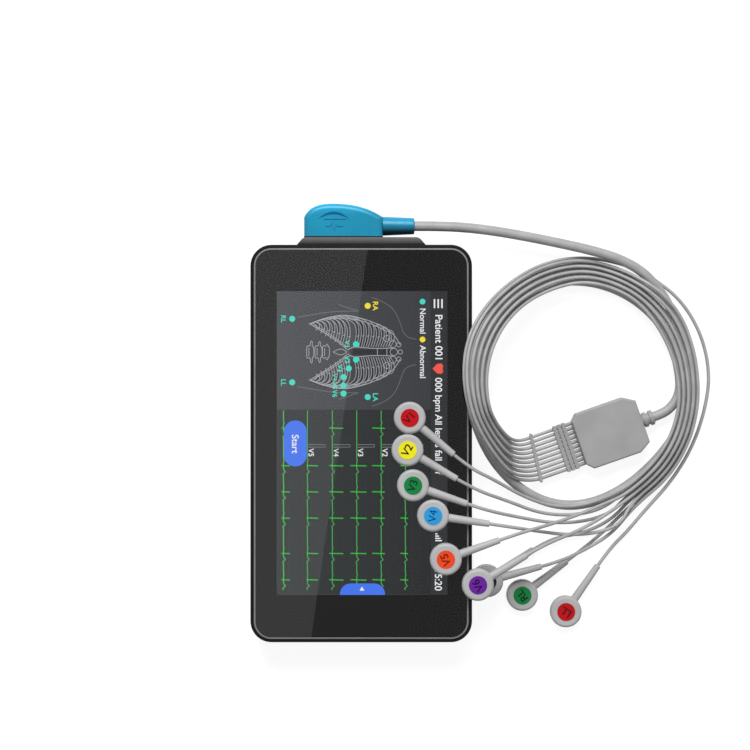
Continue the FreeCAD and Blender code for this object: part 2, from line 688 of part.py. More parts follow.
def side_switches():
    """The two tact switches that the side buttons press."""
    switches = []
    tip_end = FRAME_INSIDE - 2 * RUNNING_GAP - BUTTON_FLANGE_THICKNESS - PRESS_TRAVEL
    body_end = tip_end - SWITCH_TIP_LENGTH
    for start, length in ((POWER_START, POWER_LENGTH), (RECORD_START, RECORD_LENGTH)):
        y = button_y(start, length)
        body = block((body_end - SWITCH_DEPTH, body_end), around(y, SWITCH_LENGTH),
                     (BOARD_TOP, BOARD_TOP + SWITCH_HEIGHT))
        tip = block((body_end, tip_end), around(y, SWITCH_TIP_WIDTH),
                    around(SIDE_HEIGHT, SWITCH_TIP_HEIGHT))
        switches.append(fused([body, tip]))
    return Part.makeCompound(switches)


def flap_pin(extra=0.0):
    """The hinge pin of the port flap, seated in the frame at both ends."""
    length = FLAP_RECESS_LENGTH + 2 * FLAP_PIN_SEAT
    start = FreeCAD.Vector(FLAP_AXIS_X, FLAP_Y - length / 2, FLAP_AXIS_Z)
    return Part.makeCylinder(FLAP_PIN_RADIUS + extra, length, start, FreeCAD.Vector(0, 1, 0))


def port_flap():
    """The flap over the ports, turning on a pin along its lower edge."""
    barrel = Part.makeCylinder(
        FLAP_BARREL_RADIUS, FLAP_LENGTH,
        FreeCAD.Vector(FLAP_AXIS_X, FLAP_Y - FLAP_LENGTH / 2, FLAP_AXIS_Z),
        FreeCAD.Vector(0, 1, 0),
    )
    top = SIDE_HEIGHT + RECESS_HEIGHT / 2 - RUNNING_GAP
    leaf = block(around(FLAP_AXIS_X, FLAP_THICKNESS), around(FLAP_Y, FLAP_LENGTH),
                 (FLAP_AXIS_Z, top))
    low = FLAP_AXIS_Z + FLAP_GRIP_OFFSET
    face = FLAP_AXIS_X + FLAP_THICKNESS / 2
    grip = block((FLAP_AXIS_X, face + FLAP_GRIP_RISE), around(FLAP_Y, FLAP_GRIP_LENGTH),
                 (low, low + FLAP_GRIP_HEIGHT))
    return fused([barrel, leaf, grip]).cut(flap_pin(FLAP_PIN_CLEARANCE))


def usb_port():
    """The charging port's metal shell and its tongue, behind the flap."""
    outer_end = FLAP_BACK - FACE_GAP
    inner_end = outer_end - PORT_DEPTH
    shell = block((inner_end, outer_end), around(FLAP_Y, PORT_WIDTH),
                  around(SIDE_HEIGHT, PORT_HEIGHT))
    hollow = block((inner_end + PORT_WALL, outer_end + CUT),
                   around(FLAP_Y, PORT_WIDTH - 2 * PORT_WALL),
                   around(SIDE_HEIGHT, PORT_HEIGHT - 2 * PORT_WALL))
    tongue = block((inner_end, outer_end - PORT_INSET), around(FLAP_Y, PORT_TONGUE_WIDTH),
                   around(SIDE_HEIGHT, PORT_TONGUE_THICKNESS))
    return fused([shell.cut(hollow), tongue])


def socket_boss():
    """The raised collar on the case's top edge round the plug's socket."""
    root = CASE_TOP - BOSS_ROOT
    slant = (BOSS_BASE_WIDTH - BOSS_TOP_WIDTH) / 2
    half = BOSS_BASE_WIDTH / 2
    outline = [(-half, root), (half, root), (half, CASE_TOP), (half - slant, BOSS_FACE),
               (slant - half, BOSS_FACE), (-half, CASE_TOP)]
    collar = prism(outline, (BOSS_BOTTOM, BOSS_BOTTOM + BOSS_HEIGHT))
    front = [e for e in collar.Edges if e.BoundBox.YMin > BOSS_FACE - NEAR]
    collar = collar.makeChamfer(BOSS_CHAMFER, front)
    case = rounded_back().fuse(rear_outline((PARTING_HEIGHT, CASE_HEIGHT - RIM_DROP)))
    return collar.cut([case, socket_hole()])


def ecg_socket():
    """The socket that takes the plug, behind the boss."""
    body = block(around(PLUG_X, SOCKET_WIDTH), (SOCKET_BACK, SOCKET_FACE),
                 around(PLUG_HEIGHT, SOCKET_THICKNESS))
    cavity = block(
        around(PLUG_X, SOCKET_CAVITY_WIDTH),
        (SOCKET_FACE - SOCKET_CAVITY_DEPTH, SOCKET_FACE + CUT),
        around(PLUG_HEIGHT, SOCKET_THICKNESS - 2 * SOCKET_WALL),
    )
    return body.cut(cavity)


# ---------------------------------------------------------------- lead set


def insert_section():
    """Width and thickness of the plug's tongue in the socket's cavity."""
    return (
        SOCKET_CAVITY_WIDTH - 2 * INSERT_CLEARANCE,
        SOCKET_THICKNESS - 2 * SOCKET_WALL - 2 * INSERT_CLEARANCE,
    )


def plug_insert():
    """The plug's tongue, from inside the housing into the socket."""
    wide, thick = insert_section()
    return block(around(PLUG_X, wide), (PLUG_FACE - INSERT_LENGTH, PLUG_FACE + INSERT_SEAT),
                 around(PLUG_HEIGHT, thick))


def plug_housing():
    """The blue right-angle plug: straight sides under a lopsided dome."""
    left = PLUG_X - PLUG_WIDTH / 2
    right = PLUG_SIDE
    low = PLUG_HEIGHT - PLUG_THICKNESS / 2
    shoulder = PLUG_FACE + PLUG_SHOULDER
    rise = PLUG_RISE - PLUG_SHOULDER
    crown = [(left, shoulder)]
    crown += [(left + across * PLUG_WIDTH, shoulder + up * rise) for across, up in PLUG_CROWN]
    crown.append((right, shoulder))
    dome = Part.BSplineCurve()
    dome.interpolate([FreeCAD.Vector(x, y, low) for x, y in crown])
    feet = [FreeCAD.Vector(x, PLUG_FACE, low) for x in (left, right)]
    ends = [FreeCAD.Vector(x, shoulder, low) for x in (left, right)]
    edges = [
        Part.makeLine(feet[1], feet[0]), Part.makeLine(feet[0], ends[0]), dome.toShape(),
        Part.makeLine(ends[1], feet[1]),
    ]
    body = Part.Face(Part.Wire(edges)).extrude(UP * PLUG_THICKNESS)
    rims = edges_at(body, low) + edges_at(body, low + PLUG_THICKNESS)
    rims = [e for e in rims if e.BoundBox.YMax > PLUG_FACE + CUT]
    body = body.makeFillet(PLUG_ROUND, rims)
    return body.cut(plug_insert())


def cone_along(base, direction, length, radii):
    """A truncated cone from its base point along a direction."""
    return Part.makeCone(radii[0], radii[1], length, base, direction)


def plug_boot():
    """The tapered strain relief out of the plug."""
    base = FreeCAD.Vector(PLUG_SIDE, BOOT_Y, PLUG_HEIGHT)
    along = FreeCAD.Vector(1, 0, 0)
    boot = cone_along(base, along, BOOT_LENGTH, (BOOT_BASE_RADIUS, BOOT_TIP_RADIUS))
    tip = [e for e in boot.Edges if e.BoundBox.XMin > BOOT_TIP - NEAR]
    return boot.makeFillet(BOOT_TIP_ROUND, tip)


def yoke_point(u, v, z):
    """A point given along and across the yoke."""
    turn = math.radians(YOKE_TURN)
    x = YOKE_X + u * math.cos(turn) - v * math.sin(turn)
    y = YOKE_Y + u * math.sin(turn) + v * math.cos(turn)
    return (x, y, z)


def yoke_direction():
    """The direction along the yoke, towards the trunk."""
    turn = math.radians(YOKE_TURN)
    return FreeCAD.Vector(math.cos(turn), math.sin(turn), 0)


def to_yoke(shape):
    """A shape made about the origin, moved to the yoke's place."""
    moved = shape.copy()
    moved.rotate(FreeCAD.Vector(0, 0, 0), UP, YOKE_TURN)
    moved.translate(FreeCAD.Vector(YOKE_X, YOKE_Y, 0))
    return moved


def yoke_outline():
    """The yoke's six-sided outline with its clipped corners."""
    half = YOKE_HALF_WIDTH
    return [
        (YOKE_LEFT, half - YOKE_LEFT_CHAMFER), (YOKE_LEFT, YOKE_LEFT_CHAMFER - half),
        (YOKE_LEFT + YOKE_LEFT_CHAMFER, -half), (YOKE_RIGHT - YOKE_RIGHT_CHAMFER_U, -half),
        (YOKE_RIGHT, YOKE_RIGHT_CHAMFER_V - half), (YOKE_RIGHT, half - YOKE_RIGHT_CHAMFER_V),
        (YOKE_RIGHT - YOKE_RIGHT_CHAMFER_U, half), (YOKE_LEFT + YOKE_LEFT_CHAMFER, half),
    ]


def yoke_half(z_range, rounded_at):
    """One shell of the yoke, rounded on its outer face."""
    body = prism(yoke_outline(), z_range)
    return to_yoke(body.makeFillet(YOKE_EDGE_ROUND, edges_at(body, rounded_at)))


def yoke_boot():
    """The ringed strain relief between yoke and trunk."""
    along = FreeCAD.Vector(1, 0, 0)
    core = Part.makeCylinder(
        YOKE_BOOT_RADIUS, YOKE_BOOT_LENGTH, FreeCAD.Vector(YOKE_RIGHT, 0, YOKE_SPLIT), along
    )
    rings = []
    for number in range(YOKE_RINGS):
        u = YOKE_RIGHT + YOKE_RING_WIDTH / 2 + number * YOKE_RING_PITCH
        start = FreeCAD.Vector(u, 0, YOKE_SPLIT)
        rings.append(Part.makeCylinder(YOKE_RING_RADIUS, YOKE_RING_WIDTH, start, along))
    return to_yoke(fused([core] + rings))


def lane_v(lane):
    """How far across the yoke a lead lies in the comb."""
    return ((len(LEADS) - 1) / 2 - lane) * LEAD_PITCH


def lead_comb():
    """The moulded comb that the leads leave the yoke through."""
    along = FreeCAD.Vector(-1, 0, 0)
    parts = []
    for place in COMB_RIBS:
        u_range = around(YOKE_LEFT - place, COMB_RIB_THICKNESS)
        parts.append(block(u_range, around(0, COMB_RIB_LENGTH), around(LEAD_HEIGHT, COMB_RIB_HEIGHT)))
    for lane in range(len(LEADS)):
        start = FreeCAD.Vector(YOKE_LEFT, lane_v(lane), LEAD_HEIGHT)
        parts.append(Part.makeCylinder(COMB_SLEEVE_RADIUS, COMB_LENGTH, start, along))
    return to_yoke(fused(parts))


def lead_separator():
    """The bar with ten eyes that slides along the leads, set a little askew of the comb."""
    bar = block(around(SEPARATOR_U, SEPARATOR_THICKNESS), around(0, SEPARATOR_LENGTH),
                around(LEAD_HEIGHT, SEPARATOR_HEIGHT))
    ends = [edge for edge in bar.Edges if abs(edge.CenterOfMass.y) > SEPARATOR_LENGTH / 2 - NEAR]
    bar = bar.makeFillet(SEPARATOR_END_ROUND, ends)
    bar.rotate(
        FreeCAD.Vector(SEPARATOR_U, 0, LEAD_HEIGHT), FreeCAD.Vector(0, 0, 1), -SEPARATOR_TURN
    )
    eyes = []
    for lane in range(len(LEADS)):
        start = FreeCAD.Vector(SEPARATOR_U - SEPARATOR_LENGTH / 2, lane_v(lane), LEAD_HEIGHT)
        eyes.append(Part.makeCylinder(
            LEAD_RADIUS + SEPARATOR_CLEARANCE / 2, SEPARATOR_LENGTH, start, FreeCAD.Vector(1, 0, 0)
        ))
    return to_yoke(bar.cut(fused(eyes)))


def nearest_on_trunk(x, y):
    """How far a place is from the trunk in plan, and how high the trunk is there."""
    best = (math.inf, 0.0)
    for a, b in zip(TRUNK_UNDER_LEADS, TRUNK_UNDER_LEADS[1:]):
        dx, dy = b[0] - a[0], b[1] - a[1]
        share = ((x - a[0]) * dx + (y - a[1]) * dy) / (dx * dx + dy * dy)
        share = min(1.0, max(0.0, share))
        away = math.hypot(x - a[0] - share * dx, y - a[1] - share * dy)
        best = min(best, (away, a[2] + share * (b[2] - a[2])))
    return best


def drape(x, y, floor):
    """The height of a bottom-level lead over the surface or the trunk under it."""
    away, trunk = nearest_on_trunk(x, y)
    over = trunk + DRAPE_LIFT - DRAPE_FALL * max(0.0, away - DRAPE_FLAT)
    return max(floor + LEAD_RADIUS + PILE_GAP, over)


def coil_points(name):
    """A lead's points round the coil, from its place between the bundle's two edges."""
    lane, level = LEADS[name][:2]
    share = lane / (len(LEADS) - 1)
    points = []
    for number, (inner, outer, step) in enumerate(COIL_STATIONS):
        x, y, floor = (i + (o - i) * share for i, o in zip(inner, outer))
        if name == STRAY_LEAD and number in STRAY_POINTS:
            points.append(STRAY_POINTS[number])
        elif number < DRAPE_FROM:
            points.append((x, y, floor + LEAD_RADIUS + step * level))
        else:
            points.append((x, y, drape(x, y, floor) + step * level))
    return points


def snap_direction(angle):
    """The direction in which a snap's strain relief points."""
    turn = math.radians(angle)
    return FreeCAD.Vector(math.cos(turn), math.sin(turn), 0)


def lead_route(name):
    """All the points of a lead, from the comb to its snap's strain relief."""
    lane, _, place, angle, seat, fan = LEADS[name]
    across = lane_v(lane)
    near, far = LEAD_STRAIGHTS
    start = [yoke_point(COMB_END, across, LEAD_HEIGHT),
             yoke_point(COMB_END - near, across, LEAD_HEIGHT),
             yoke_point(COMB_END - far, across, LEAD_HEIGHT + LEAD_RISE)]
    height = SNAP_SEATS[seat] + SNAP_MIDDLE
    tip = FreeCAD.Vector(*place, height) + snap_direction(angle) * (SNAP_RADIUS + RELIEF_LENGTH)
    out = tip + snap_direction(angle) * APPROACH
    return start + coil_points(name) + fan + [tuple(out), tuple(tip)]


def trunk_route():
    """All the points of the trunk, from the plug's boot to the yoke's."""
    starts = [(BOOT_TIP, BOOT_Y, PLUG_HEIGHT),
              (BOOT_TIP + TRUNK_PLUG_STRAIGHT, BOOT_Y, PLUG_HEIGHT)]
    end_u = YOKE_RIGHT + YOKE_BOOT_LENGTH
    ends = [yoke_point(end_u + TRUNK_YOKE_STRAIGHT, 0, YOKE_SPLIT), yoke_point(end_u, 0, YOKE_SPLIT)]
    return starts + TRUNK_FREE + TRUNK_UNDER_LEADS + ends


def bend(before, corner, after):
    """Where the arc at a corner starts, passes and ends, and its radius."""
    into = corner - before
    out = after - corner
    half_turn = into.getAngle(out) / 2
    reach = BEND_SHARE * min(into.Length, out.Length)
    radius = reach / math.tan(half_turn)
    first = corner - into.normalize() * reach
    last = corner + out.normalize() * reach
    middle = (first + last) * 0.5
    inward = (middle - corner).normalize()
    depth = radius / math.cos(half_turn) - radius
    return first, corner + inward * depth, last, radius


def tube(name, route, radius):
    """A cord's solid: straight runs joined by tangent arcs."""
    points = [vector(p) for p in route]
    edges = []
    radii = []
    at = points[0]
    for before, corner, after in zip(points, points[1:], points[2:]):
        first, middle, last, bend_radius = bend(before, corner, after)
        edges.append(Part.LineSegment(at, first).toShape())
        edges.append(Part.Arc(first, middle, last).toShape())
        radii.append(bend_radius)
        at = last
    edges.append(Part.LineSegment(at, points[-1]).toShape())
    path = Part.Wire(edges)
    ring = Part.Wire(Part.makeCircle(radius, points[0], points[1] - points[0]))
    pipe = Part.BRepOffsetAPI.MakePipeShell(path)
    pipe.add(ring)
    pipe.build()
    pipe.makeSolid()
    solid = Part.Solid(pipe.shape())
    share = solid.Volume / (math.pi * radius ** 2 * path.Length)
    print(f"{name}: length {path.Length:.1f}, tightest radius {min(radii):.1f}, volume share {share:.4f}")
    return solid


def snap_frame(name):
    """A snap's centre, the height of its underside and its direction."""
    place, angle, seat = LEADS[name][2:5]
    return place, SNAP_SEATS[seat], snap_direction(angle)


def snap(name):
    """A snap clip's moulding with its tapered strain relief."""
    (x, y), low, direction = snap_frame(name)
    disc = post(x, y, (low, low + SNAP_HEIGHT), SNAP_RADIUS)
    disc = disc.makeFillet(SNAP_TOP_ROUND, edges_at(disc, low + SNAP_HEIGHT))
    disc = disc.makeFillet(SNAP_BOTTOM_ROUND, edges_at(disc, low))
    base = FreeCAD.Vector(x, y, low + SNAP_MIDDLE) + direction * (SNAP_RADIUS / 2)
    length = RELIEF_LENGTH + SNAP_RADIUS / 2
    relief = cone_along(base, direction, length, (RELIEF_BASE_RADIUS, RELIEF_TIP_RADIUS))
    body = fused([disc, relief])
    top = low + SNAP_HEIGHT
    cap_seat = post(x, y, (top - CAP_DEPTH, top + CUT), CAP_RADIUS)
    stud_top = low + STUD_SOCKET_DROP + STUD_SOCKET_HEIGHT
    stud_seat = post(x, y, (low - CUT, stud_top), STUD_SOCKET_RADIUS)
    return body.cut([cap_seat, stud_seat])


def cap(name):
    """The coloured disc on top of a snap."""
    (x, y), low, _ = snap_frame(name)
    top = low + SNAP_HEIGHT
    return post(x, y, (top - CAP_DEPTH, top + CAP_RISE), CAP_RADIUS)


def stud_sockets():
    """The metal rings under the snaps that grip an electrode's stud."""
    rings = []
    for name in LEADS:
        (x, y), low, _ = snap_frame(name)
        z_range = (low + STUD_SOCKET_DROP, low + STUD_SOCKET_DROP + STUD_SOCKET_HEIGHT)
        ring = post(x, y, z_range, STUD_SOCKET_RADIUS)
        rings.append(ring.cut(post(x, y, (low - CUT, z_range[1] + CUT), STUD_BORE_RADIUS)))
    return Part.makeCompound(rings)


def monitor_nodes():
    """Every piece of the monitor, by name."""
    rear_cover, top_cap = split_rear(rear_shell())
    return {
        "front_frame": front_frame(),
        "cover_glass": cover_glass(),
        "display_panel": display_panel(),
        "display_bracket": display_bracket(),
        "rear_cover": rear_cover,
        "top_cap": top_cap,
        "socket_boss": socket_boss(),
        "camera_ring": camera_ring(),
        "camera_module": camera_module(),
        "case_screws": case_screws(),
        "battery_hatch": battery_hatch(),
        "battery_pack": battery_pack(),
        "main_board": main_board(),
        "speaker": speaker(),
        "ecg_socket": ecg_socket(),
        "power_button": side_button(POWER_START, POWER_LENGTH),
        "record_button": side_button(RECORD_START, RECORD_LENGTH),
        "side_switches": side_switches(),
        "port_flap": port_flap(),
        "flap_hinge_pin": flap_pin(),
        "usb_port": usb_port(),
        "round_label": round_label(),
    }


def lead_set_nodes():
    """Every piece of the lead set, by name."""
    nodes = {
        "plug_housing": plug_housing(),
        "plug_insert": plug_insert(),
        "plug_boot": plug_boot(),
        "trunk_cable": tube("trunk_cable", trunk_route(), TRUNK_RADIUS),
        "yoke_lower": yoke_half((0, YOKE_SPLIT), 0),
        "yoke_upper": yoke_half((YOKE_SPLIT, YOKE_THICKNESS), YOKE_THICKNESS),
        "yoke_boot": yoke_boot(),
        "lead_comb": lead_comb(),
        "lead_separator": lead_separator(),
        "stud_sockets": stud_sockets(),
    }
    for name in LEADS:
        nodes[f"lead_{name}"] = tube(f"lead_{name}", lead_route(name), LEAD_RADIUS)
        nodes[f"snap_{name}"] = snap(name)
    for group, names in CAP_GROUPS.items():
        nodes[group] = Part.makeCompound([cap(name) for name in names])
    return nodes


def main():
    """Writes one STEP file for each piece."""
    os.makedirs("parts", exist_ok=True)
    nodes = {**monitor_nodes(), **lead_set_nodes()}
    for name, shape in nodes.items():
        shape.exportStep(f"parts/{name}.step")
        print(f"{name}: {len(shape.Solids)} solids, {shape.Volume:.1f} mm3, valid {shape.isValid()}")
    print(f"{len(nodes)} nodes")


if __name__ == "__main__":
    main()
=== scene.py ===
"""Looks of a hand-held heart monitor and its ten-lead set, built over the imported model."""

import logging
import math
from dataclasses import dataclass, field
from enum import Enum
from typing import ClassVar, Sequence

import bmesh
import bpy
from bmesh.types import BMesh, BMVert
from bpy.types import ID, Curve, Material, Node, NodeSocket, Object, Spline, World
from mathutils import Matrix, Vector


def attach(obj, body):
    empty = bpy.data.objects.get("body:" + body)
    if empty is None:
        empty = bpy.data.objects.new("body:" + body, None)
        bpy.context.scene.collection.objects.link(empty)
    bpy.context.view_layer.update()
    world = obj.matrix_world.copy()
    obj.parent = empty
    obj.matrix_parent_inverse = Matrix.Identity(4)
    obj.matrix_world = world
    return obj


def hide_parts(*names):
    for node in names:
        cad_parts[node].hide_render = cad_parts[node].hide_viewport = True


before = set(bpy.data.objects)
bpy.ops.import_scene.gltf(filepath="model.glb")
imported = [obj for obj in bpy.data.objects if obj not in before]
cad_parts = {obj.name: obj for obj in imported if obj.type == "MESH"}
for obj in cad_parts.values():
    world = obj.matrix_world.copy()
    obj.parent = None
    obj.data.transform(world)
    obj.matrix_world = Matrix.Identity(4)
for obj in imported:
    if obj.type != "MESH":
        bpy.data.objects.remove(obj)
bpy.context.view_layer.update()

Point = tuple[float, float, float]
Flat = tuple[float, float]
Colour = tuple[int, int, int]
log = logging.getLogger("monitor")
UP = Vector((0.0, 0.0, 1.0))
WHITE: Colour = (255, 255, 255)
# The levels of a noise over which a colour, or a number, changes.
NOISE_MIDDLE: Flat = (0.35, 0.65)
NOISE_SPAN: Flat = (0.3, 0.7)
# How thick a drawn line is against its width, and how wide a tapered one is at its ends.
RIBBON_FLATNESS = 0.05
RIBBON_TIP = 0.08
CORNER_STEPS = 12
# How much bolder letters are than the plain face, as a share of their size.
BOLDER = 0.012
MM_PER_M = 1000


class Body(Enum):
    """The moving bodies that the new pieces ride on."""

    MONITOR = "monitor"
    LEADS = "lead_set"


class Seat(Enum):
    """What a snap lies on, by the height of its underside."""

    TABLE = 0.0
    PILE = 0.0052
    GLASS = 0.0193


def linear(colour: Colour, share: float = 1.0) -> tuple[float, float, float, float]:
    """Turn a screen colour into a scene-linear one, by the usual screen curve.

    Args:
        colour: Red, green and blue from 0 to 255, as a screen shows them.
        share: How much of that light is kept.

    Returns:
        Linear red, green and blue, with an alpha of 1.
    """
    levels = []
    for level in colour:
        part = level / 255
        low, high = part / 12.92, ((part + 0.055) / 1.055) ** 2.4
        levels.append(min(1.0, share * (low if part <= 0.04045 else high)))
    return (levels[0], levels[1], levels[2], 1.0)


class Graph:
    """The node tree of a material or of the world."""

    def __init__(self, owner: Material | World, output: str = "OutputMaterial") -> None:
        """Empty the owner's node tree.

        Args:
            owner: The material or the world.
            output: The type of its output node.
        """
        owner.use_nodes = True
        self.owner = owner
        self.tree = owner.node_tree
        self.tree.nodes.clear()
        self.output = self.add(output)

    @classmethod
    def named(cls, name: str) -> "Graph":
        """Start a new material of this name."""
        return cls(bpy.data.materials.new(name))

    def feed(self, socket: NodeSocket, value: object) -> None:
        """Link an input to another node's output, or set it to a plain value.

        Args:
            socket: The input.
            value: The output, number or colour that it takes.
        """
        if isinstance(value, NodeSocket):
            self.tree.links.new(value, socket)
        else:
            socket.default_value = value

    def add(self, kind: str, **values: object) -> Node:
        """Add a node, and set its inputs by their names with underscores for spaces.

        Args:
            kind: The node's type, without the ShaderNode in front.
            **values: Numbers, colours or other nodes' outputs for its inputs.

        Returns:
            The new node.
        """
        node = self.tree.nodes.new("ShaderNode" + kind)
        for name, value in values.items():
            self.feed(node.inputs[name.replace("_", " ")], value)
        return node

    def math(self, operation: str, *terms: float | NodeSocket) -> NodeSocket:
        """Work out one sum.

        Args:
            operation: The kind of sum, such as MULTIPLY.
            *terms: Its two terms.

        Returns:
            The result.
        """
        node = self.add("Math")
        node.operation = operation
        for socket, term in zip(node.inputs, terms):
            self.feed(socket, term)
        return node.outputs[0]

    def seen(self) -> NodeSocket:
        """1 where the camera looks, directly, through glass or in a reflection, or else 0."""
        path = self.add("LightPath")
        direct = self.math("MAXIMUM", path.outputs["Is Camera Ray"], path.outputs["Is Glossy Ray"])
        return self.math("MAXIMUM", direct, path.outputs["Is Transmission Ray"])

    def object_place(self) -> NodeSocket:
        """The place on the object, in metres."""
        return self.add("TexCoord").outputs["Object"]

    def across(self, start: float, end: float, axis: str = "X") -> NodeSocket:
        """A level that runs from 0 at one place along an axis to 1 at another, both in metres."""
        place = self.add("SeparateXYZ", Vector=self.object_place()).outputs[axis]
        return self.add("MapRange", Value=place, From_Min=start, From_Max=end).outputs["Result"]

    def beside(self, normal: Point) -> NodeSocket:
        """How far a place, or a direction of the sky, is on one side of a plane through the origin.

        Args:
            normal: The plane's unit normal.

        Returns:
            The distance, which is negative on the far side.
        """
        node = self.add("VectorMath")
        node.operation = "DOT_PRODUCT"
        self.feed(node.inputs[0], self.object_place())
        self.feed(node.inputs[1], normal)
        return node.outputs["Value"]

    def noise(self, scale: float, detail: float = 3.0) -> NodeSocket:
        """Soft noise over the object, by its cells per metre and how many finer octaves it has."""
        return self.add("TexNoise", Vector=self.object_place(), Scale=scale, Detail=detail).outputs["Fac"]

    def scaled(self, tone: NodeSocket, share: NodeSocket) -> NodeSocket:
        """A colour with only a share of its light.

        Args:
            tone: The colour.
            share: The share from 0 to 1.

        Returns:
            The dimmer colour.
        """
        node = self.add("VectorMath")
        node.operation = "SCALE"
        self.feed(node.inputs[0], tone)
        self.feed(node.inputs["Scale"], share)
        return node.outputs["Vector"]

    def ramp(
        self, level: NodeSocket, low: Sequence[float], high: Sequence[float], limits: Flat = NOISE_MIDDLE,
    ) -> NodeSocket:
        """Turn a level into a colour between two.

        Args:
            level: The level from 0 to 1.
            low: The linear colour at the lower limit.
            high: The linear colour at the upper limit.
            limits: The two levels between which the colour changes.

        Returns:
            The colour.
        """
        node = self.add("ValToRGB", Fac=level)
        for stop, place, colour in zip(node.color_ramp.elements, limits, (low, high)):
            stop.position = place
            stop.color = colour
        return node.outputs["Color"]

    def spread(self, level: NodeSocket, low: float, high: float) -> NodeSocket:
        """Map a noise level to a number.

        Args:
            level: The noise's level.
            low: The number in the noise's dark parts.
            high: The number in its bright parts.

        Returns:
            The number's socket.
        """
        start, end = NOISE_SPAN
        node = self.add("MapRange", Value=level, From_Min=start, From_Max=end, To_Min=low, To_Max=high)
        return node.outputs["Result"]

    def bump(self, level: NodeSocket, height: float) -> NodeSocket:
        """The surface's normal, bent by a relief of this height in metres."""
        return self.add("Bump", Height=level, Distance=height, Strength=1.0).outputs["Normal"]

    def dim(self) -> None:
        """Keep a glowing material from being sampled as a lamp, as nothing is lit by it."""
        self.owner.cycles.emission_sampling = "NONE"

    def finish(self, shader: Node) -> Material | World:
        """Shade the surface by a node's first output, and give back its finished owner."""
        self.tree.links.new(shader.outputs[0], self.output.inputs["Surface"])
        return self.owner

    def principled(self, **values: object) -> Material | World:
        """Finish the surface with one principled shader of these inputs."""
        return self.finish(self.add("BsdfPrincipled", **values))


@dataclass(frozen=True)
class MouldedPlastic:
    """Injection-moulded plastic with a fine sparked grain and slightly uneven tone and gloss.

    Its tone can be painted darker along Y as painted shade, from full at the first place of its reach to the
    painted shade's share at the second.
    """

    name: str
    colour: Colour
    roughness: float = 0.45
    specular: float = 0.35
    grain: float = 1400.0
    relief: float = 0.00002
    painted_shade_share: float = 1.0
    reach: Flat = (0.0, 1.0)
    mottle: float = 0.06
    patches: float = 90.0
    gloss_patches: float = 240.0
    gloss_swing: float = 0.05

    def material(self) -> Material:
        """The plastic as a material."""
        graph = Graph.named(self.name)
        dark, bright = linear(self.colour, 1 - self.mottle), linear(self.colour, 1 + self.mottle)
        tone = graph.ramp(graph.noise(self.patches, 4.0), dark, bright)
        # How much of the tone the painted shade along Y takes away.
        lost = graph.math("MULTIPLY", graph.across(*self.reach, "Y"), 1 - self.painted_shade_share)
        least, most = self.roughness - self.gloss_swing, self.roughness + self.gloss_swing
        gloss = graph.spread(graph.noise(self.gloss_patches), least, most)
        return graph.principled(
            Base_Color=graph.scaled(tone, graph.math("SUBTRACT", 1.0, lost)),
            Roughness=gloss,
            Specular_IOR_Level=self.specular,
            Normal=graph.bump(graph.noise(self.grain, 2.0), self.relief),
        )


@dataclass(frozen=True)
class CableJacket:
    """Soft satin cable jacket with faint marks from handling, glossier where it is brighter."""

    name: str
    colour: Colour
    roughness: Flat = (0.48, 0.38)
    tone: Flat = (0.9, 1.06)
    specular: float = 0.4
    marks: float = 160.0
    grain: float = 2600.0
    relief: float = 0.000006

    def material(self) -> Material:
        """The jacket as a material."""
        graph = Graph.named(self.name)
        marks = graph.noise(self.marks, 5.0)
        dark, bright = (linear(self.colour, share) for share in self.tone)
        return graph.principled(
            Base_Color=graph.ramp(marks, dark, bright),
            Roughness=graph.spread(marks, *self.roughness),
            Specular_IOR_Level=self.specular,
            Normal=graph.bump(graph.noise(self.grain, 2.0), self.relief),
        )


@dataclass(frozen=True)
class Metal:
    """Drawn or plated metal with fine uneven gloss."""

    name: str
    colour: Colour
    roughness: float = 0.3
    duller: float = 0.1
    shinier: float = 0.08
    dark: float = 0.85
    wear: float = 900.0
    relief: float = 0.000004

    def material(self) -> Material:
        """The metal as a material."""
        graph = Graph.named(self.name)
        wear = graph.noise(self.wear, 4.0)
        return graph.principled(
            Base_Color=graph.ramp(wear, linear(self.colour, self.dark), linear(self.colour)),
            Metallic=1.0,
            Roughness=graph.spread(wear, self.roughness + self.duller, self.roughness - self.shinier),
            Normal=graph.bump(wear, self.relief),
        )


@dataclass(frozen=True)
class ClearGlass:
    """Polished clear glass, a little uneven in how much light it lets through."""

    name: str
    index: float = 1.5
    haze: float = 25.0
    clouded: float = 0.97

    def material(self) -> Material:
        """The glass as a material."""
        graph = Graph.named(self.name)
        return graph.principled(
            Base_Color=graph.ramp(graph.noise(self.haze), linear(WHITE, self.clouded), linear(WHITE)),
            Transmission_Weight=1.0,
            IOR=self.index,
            Roughness=0.0,
        )


@dataclass(frozen=True)
class PrintedInk:
    """Matte ink or lacquer on glass, plastic or card, a little uneven where it lies thin."""

    name: str
    colour: Colour
    roughness: float = 0.6
    specular: float = 0.1
    tone: Flat = (0.88, 1.08)
    thin: float = 1500.0

    def material(self) -> Material:
        """The ink as a material."""
        graph = Graph.named(self.name)
        dark, bright = (linear(self.colour, share) for share in self.tone)
        return graph.principled(
            Base_Color=graph.ramp(graph.noise(self.thin, 2.0), dark, bright),
            Roughness=self.roughness,
            Specular_IOR_Level=self.specular,
        )


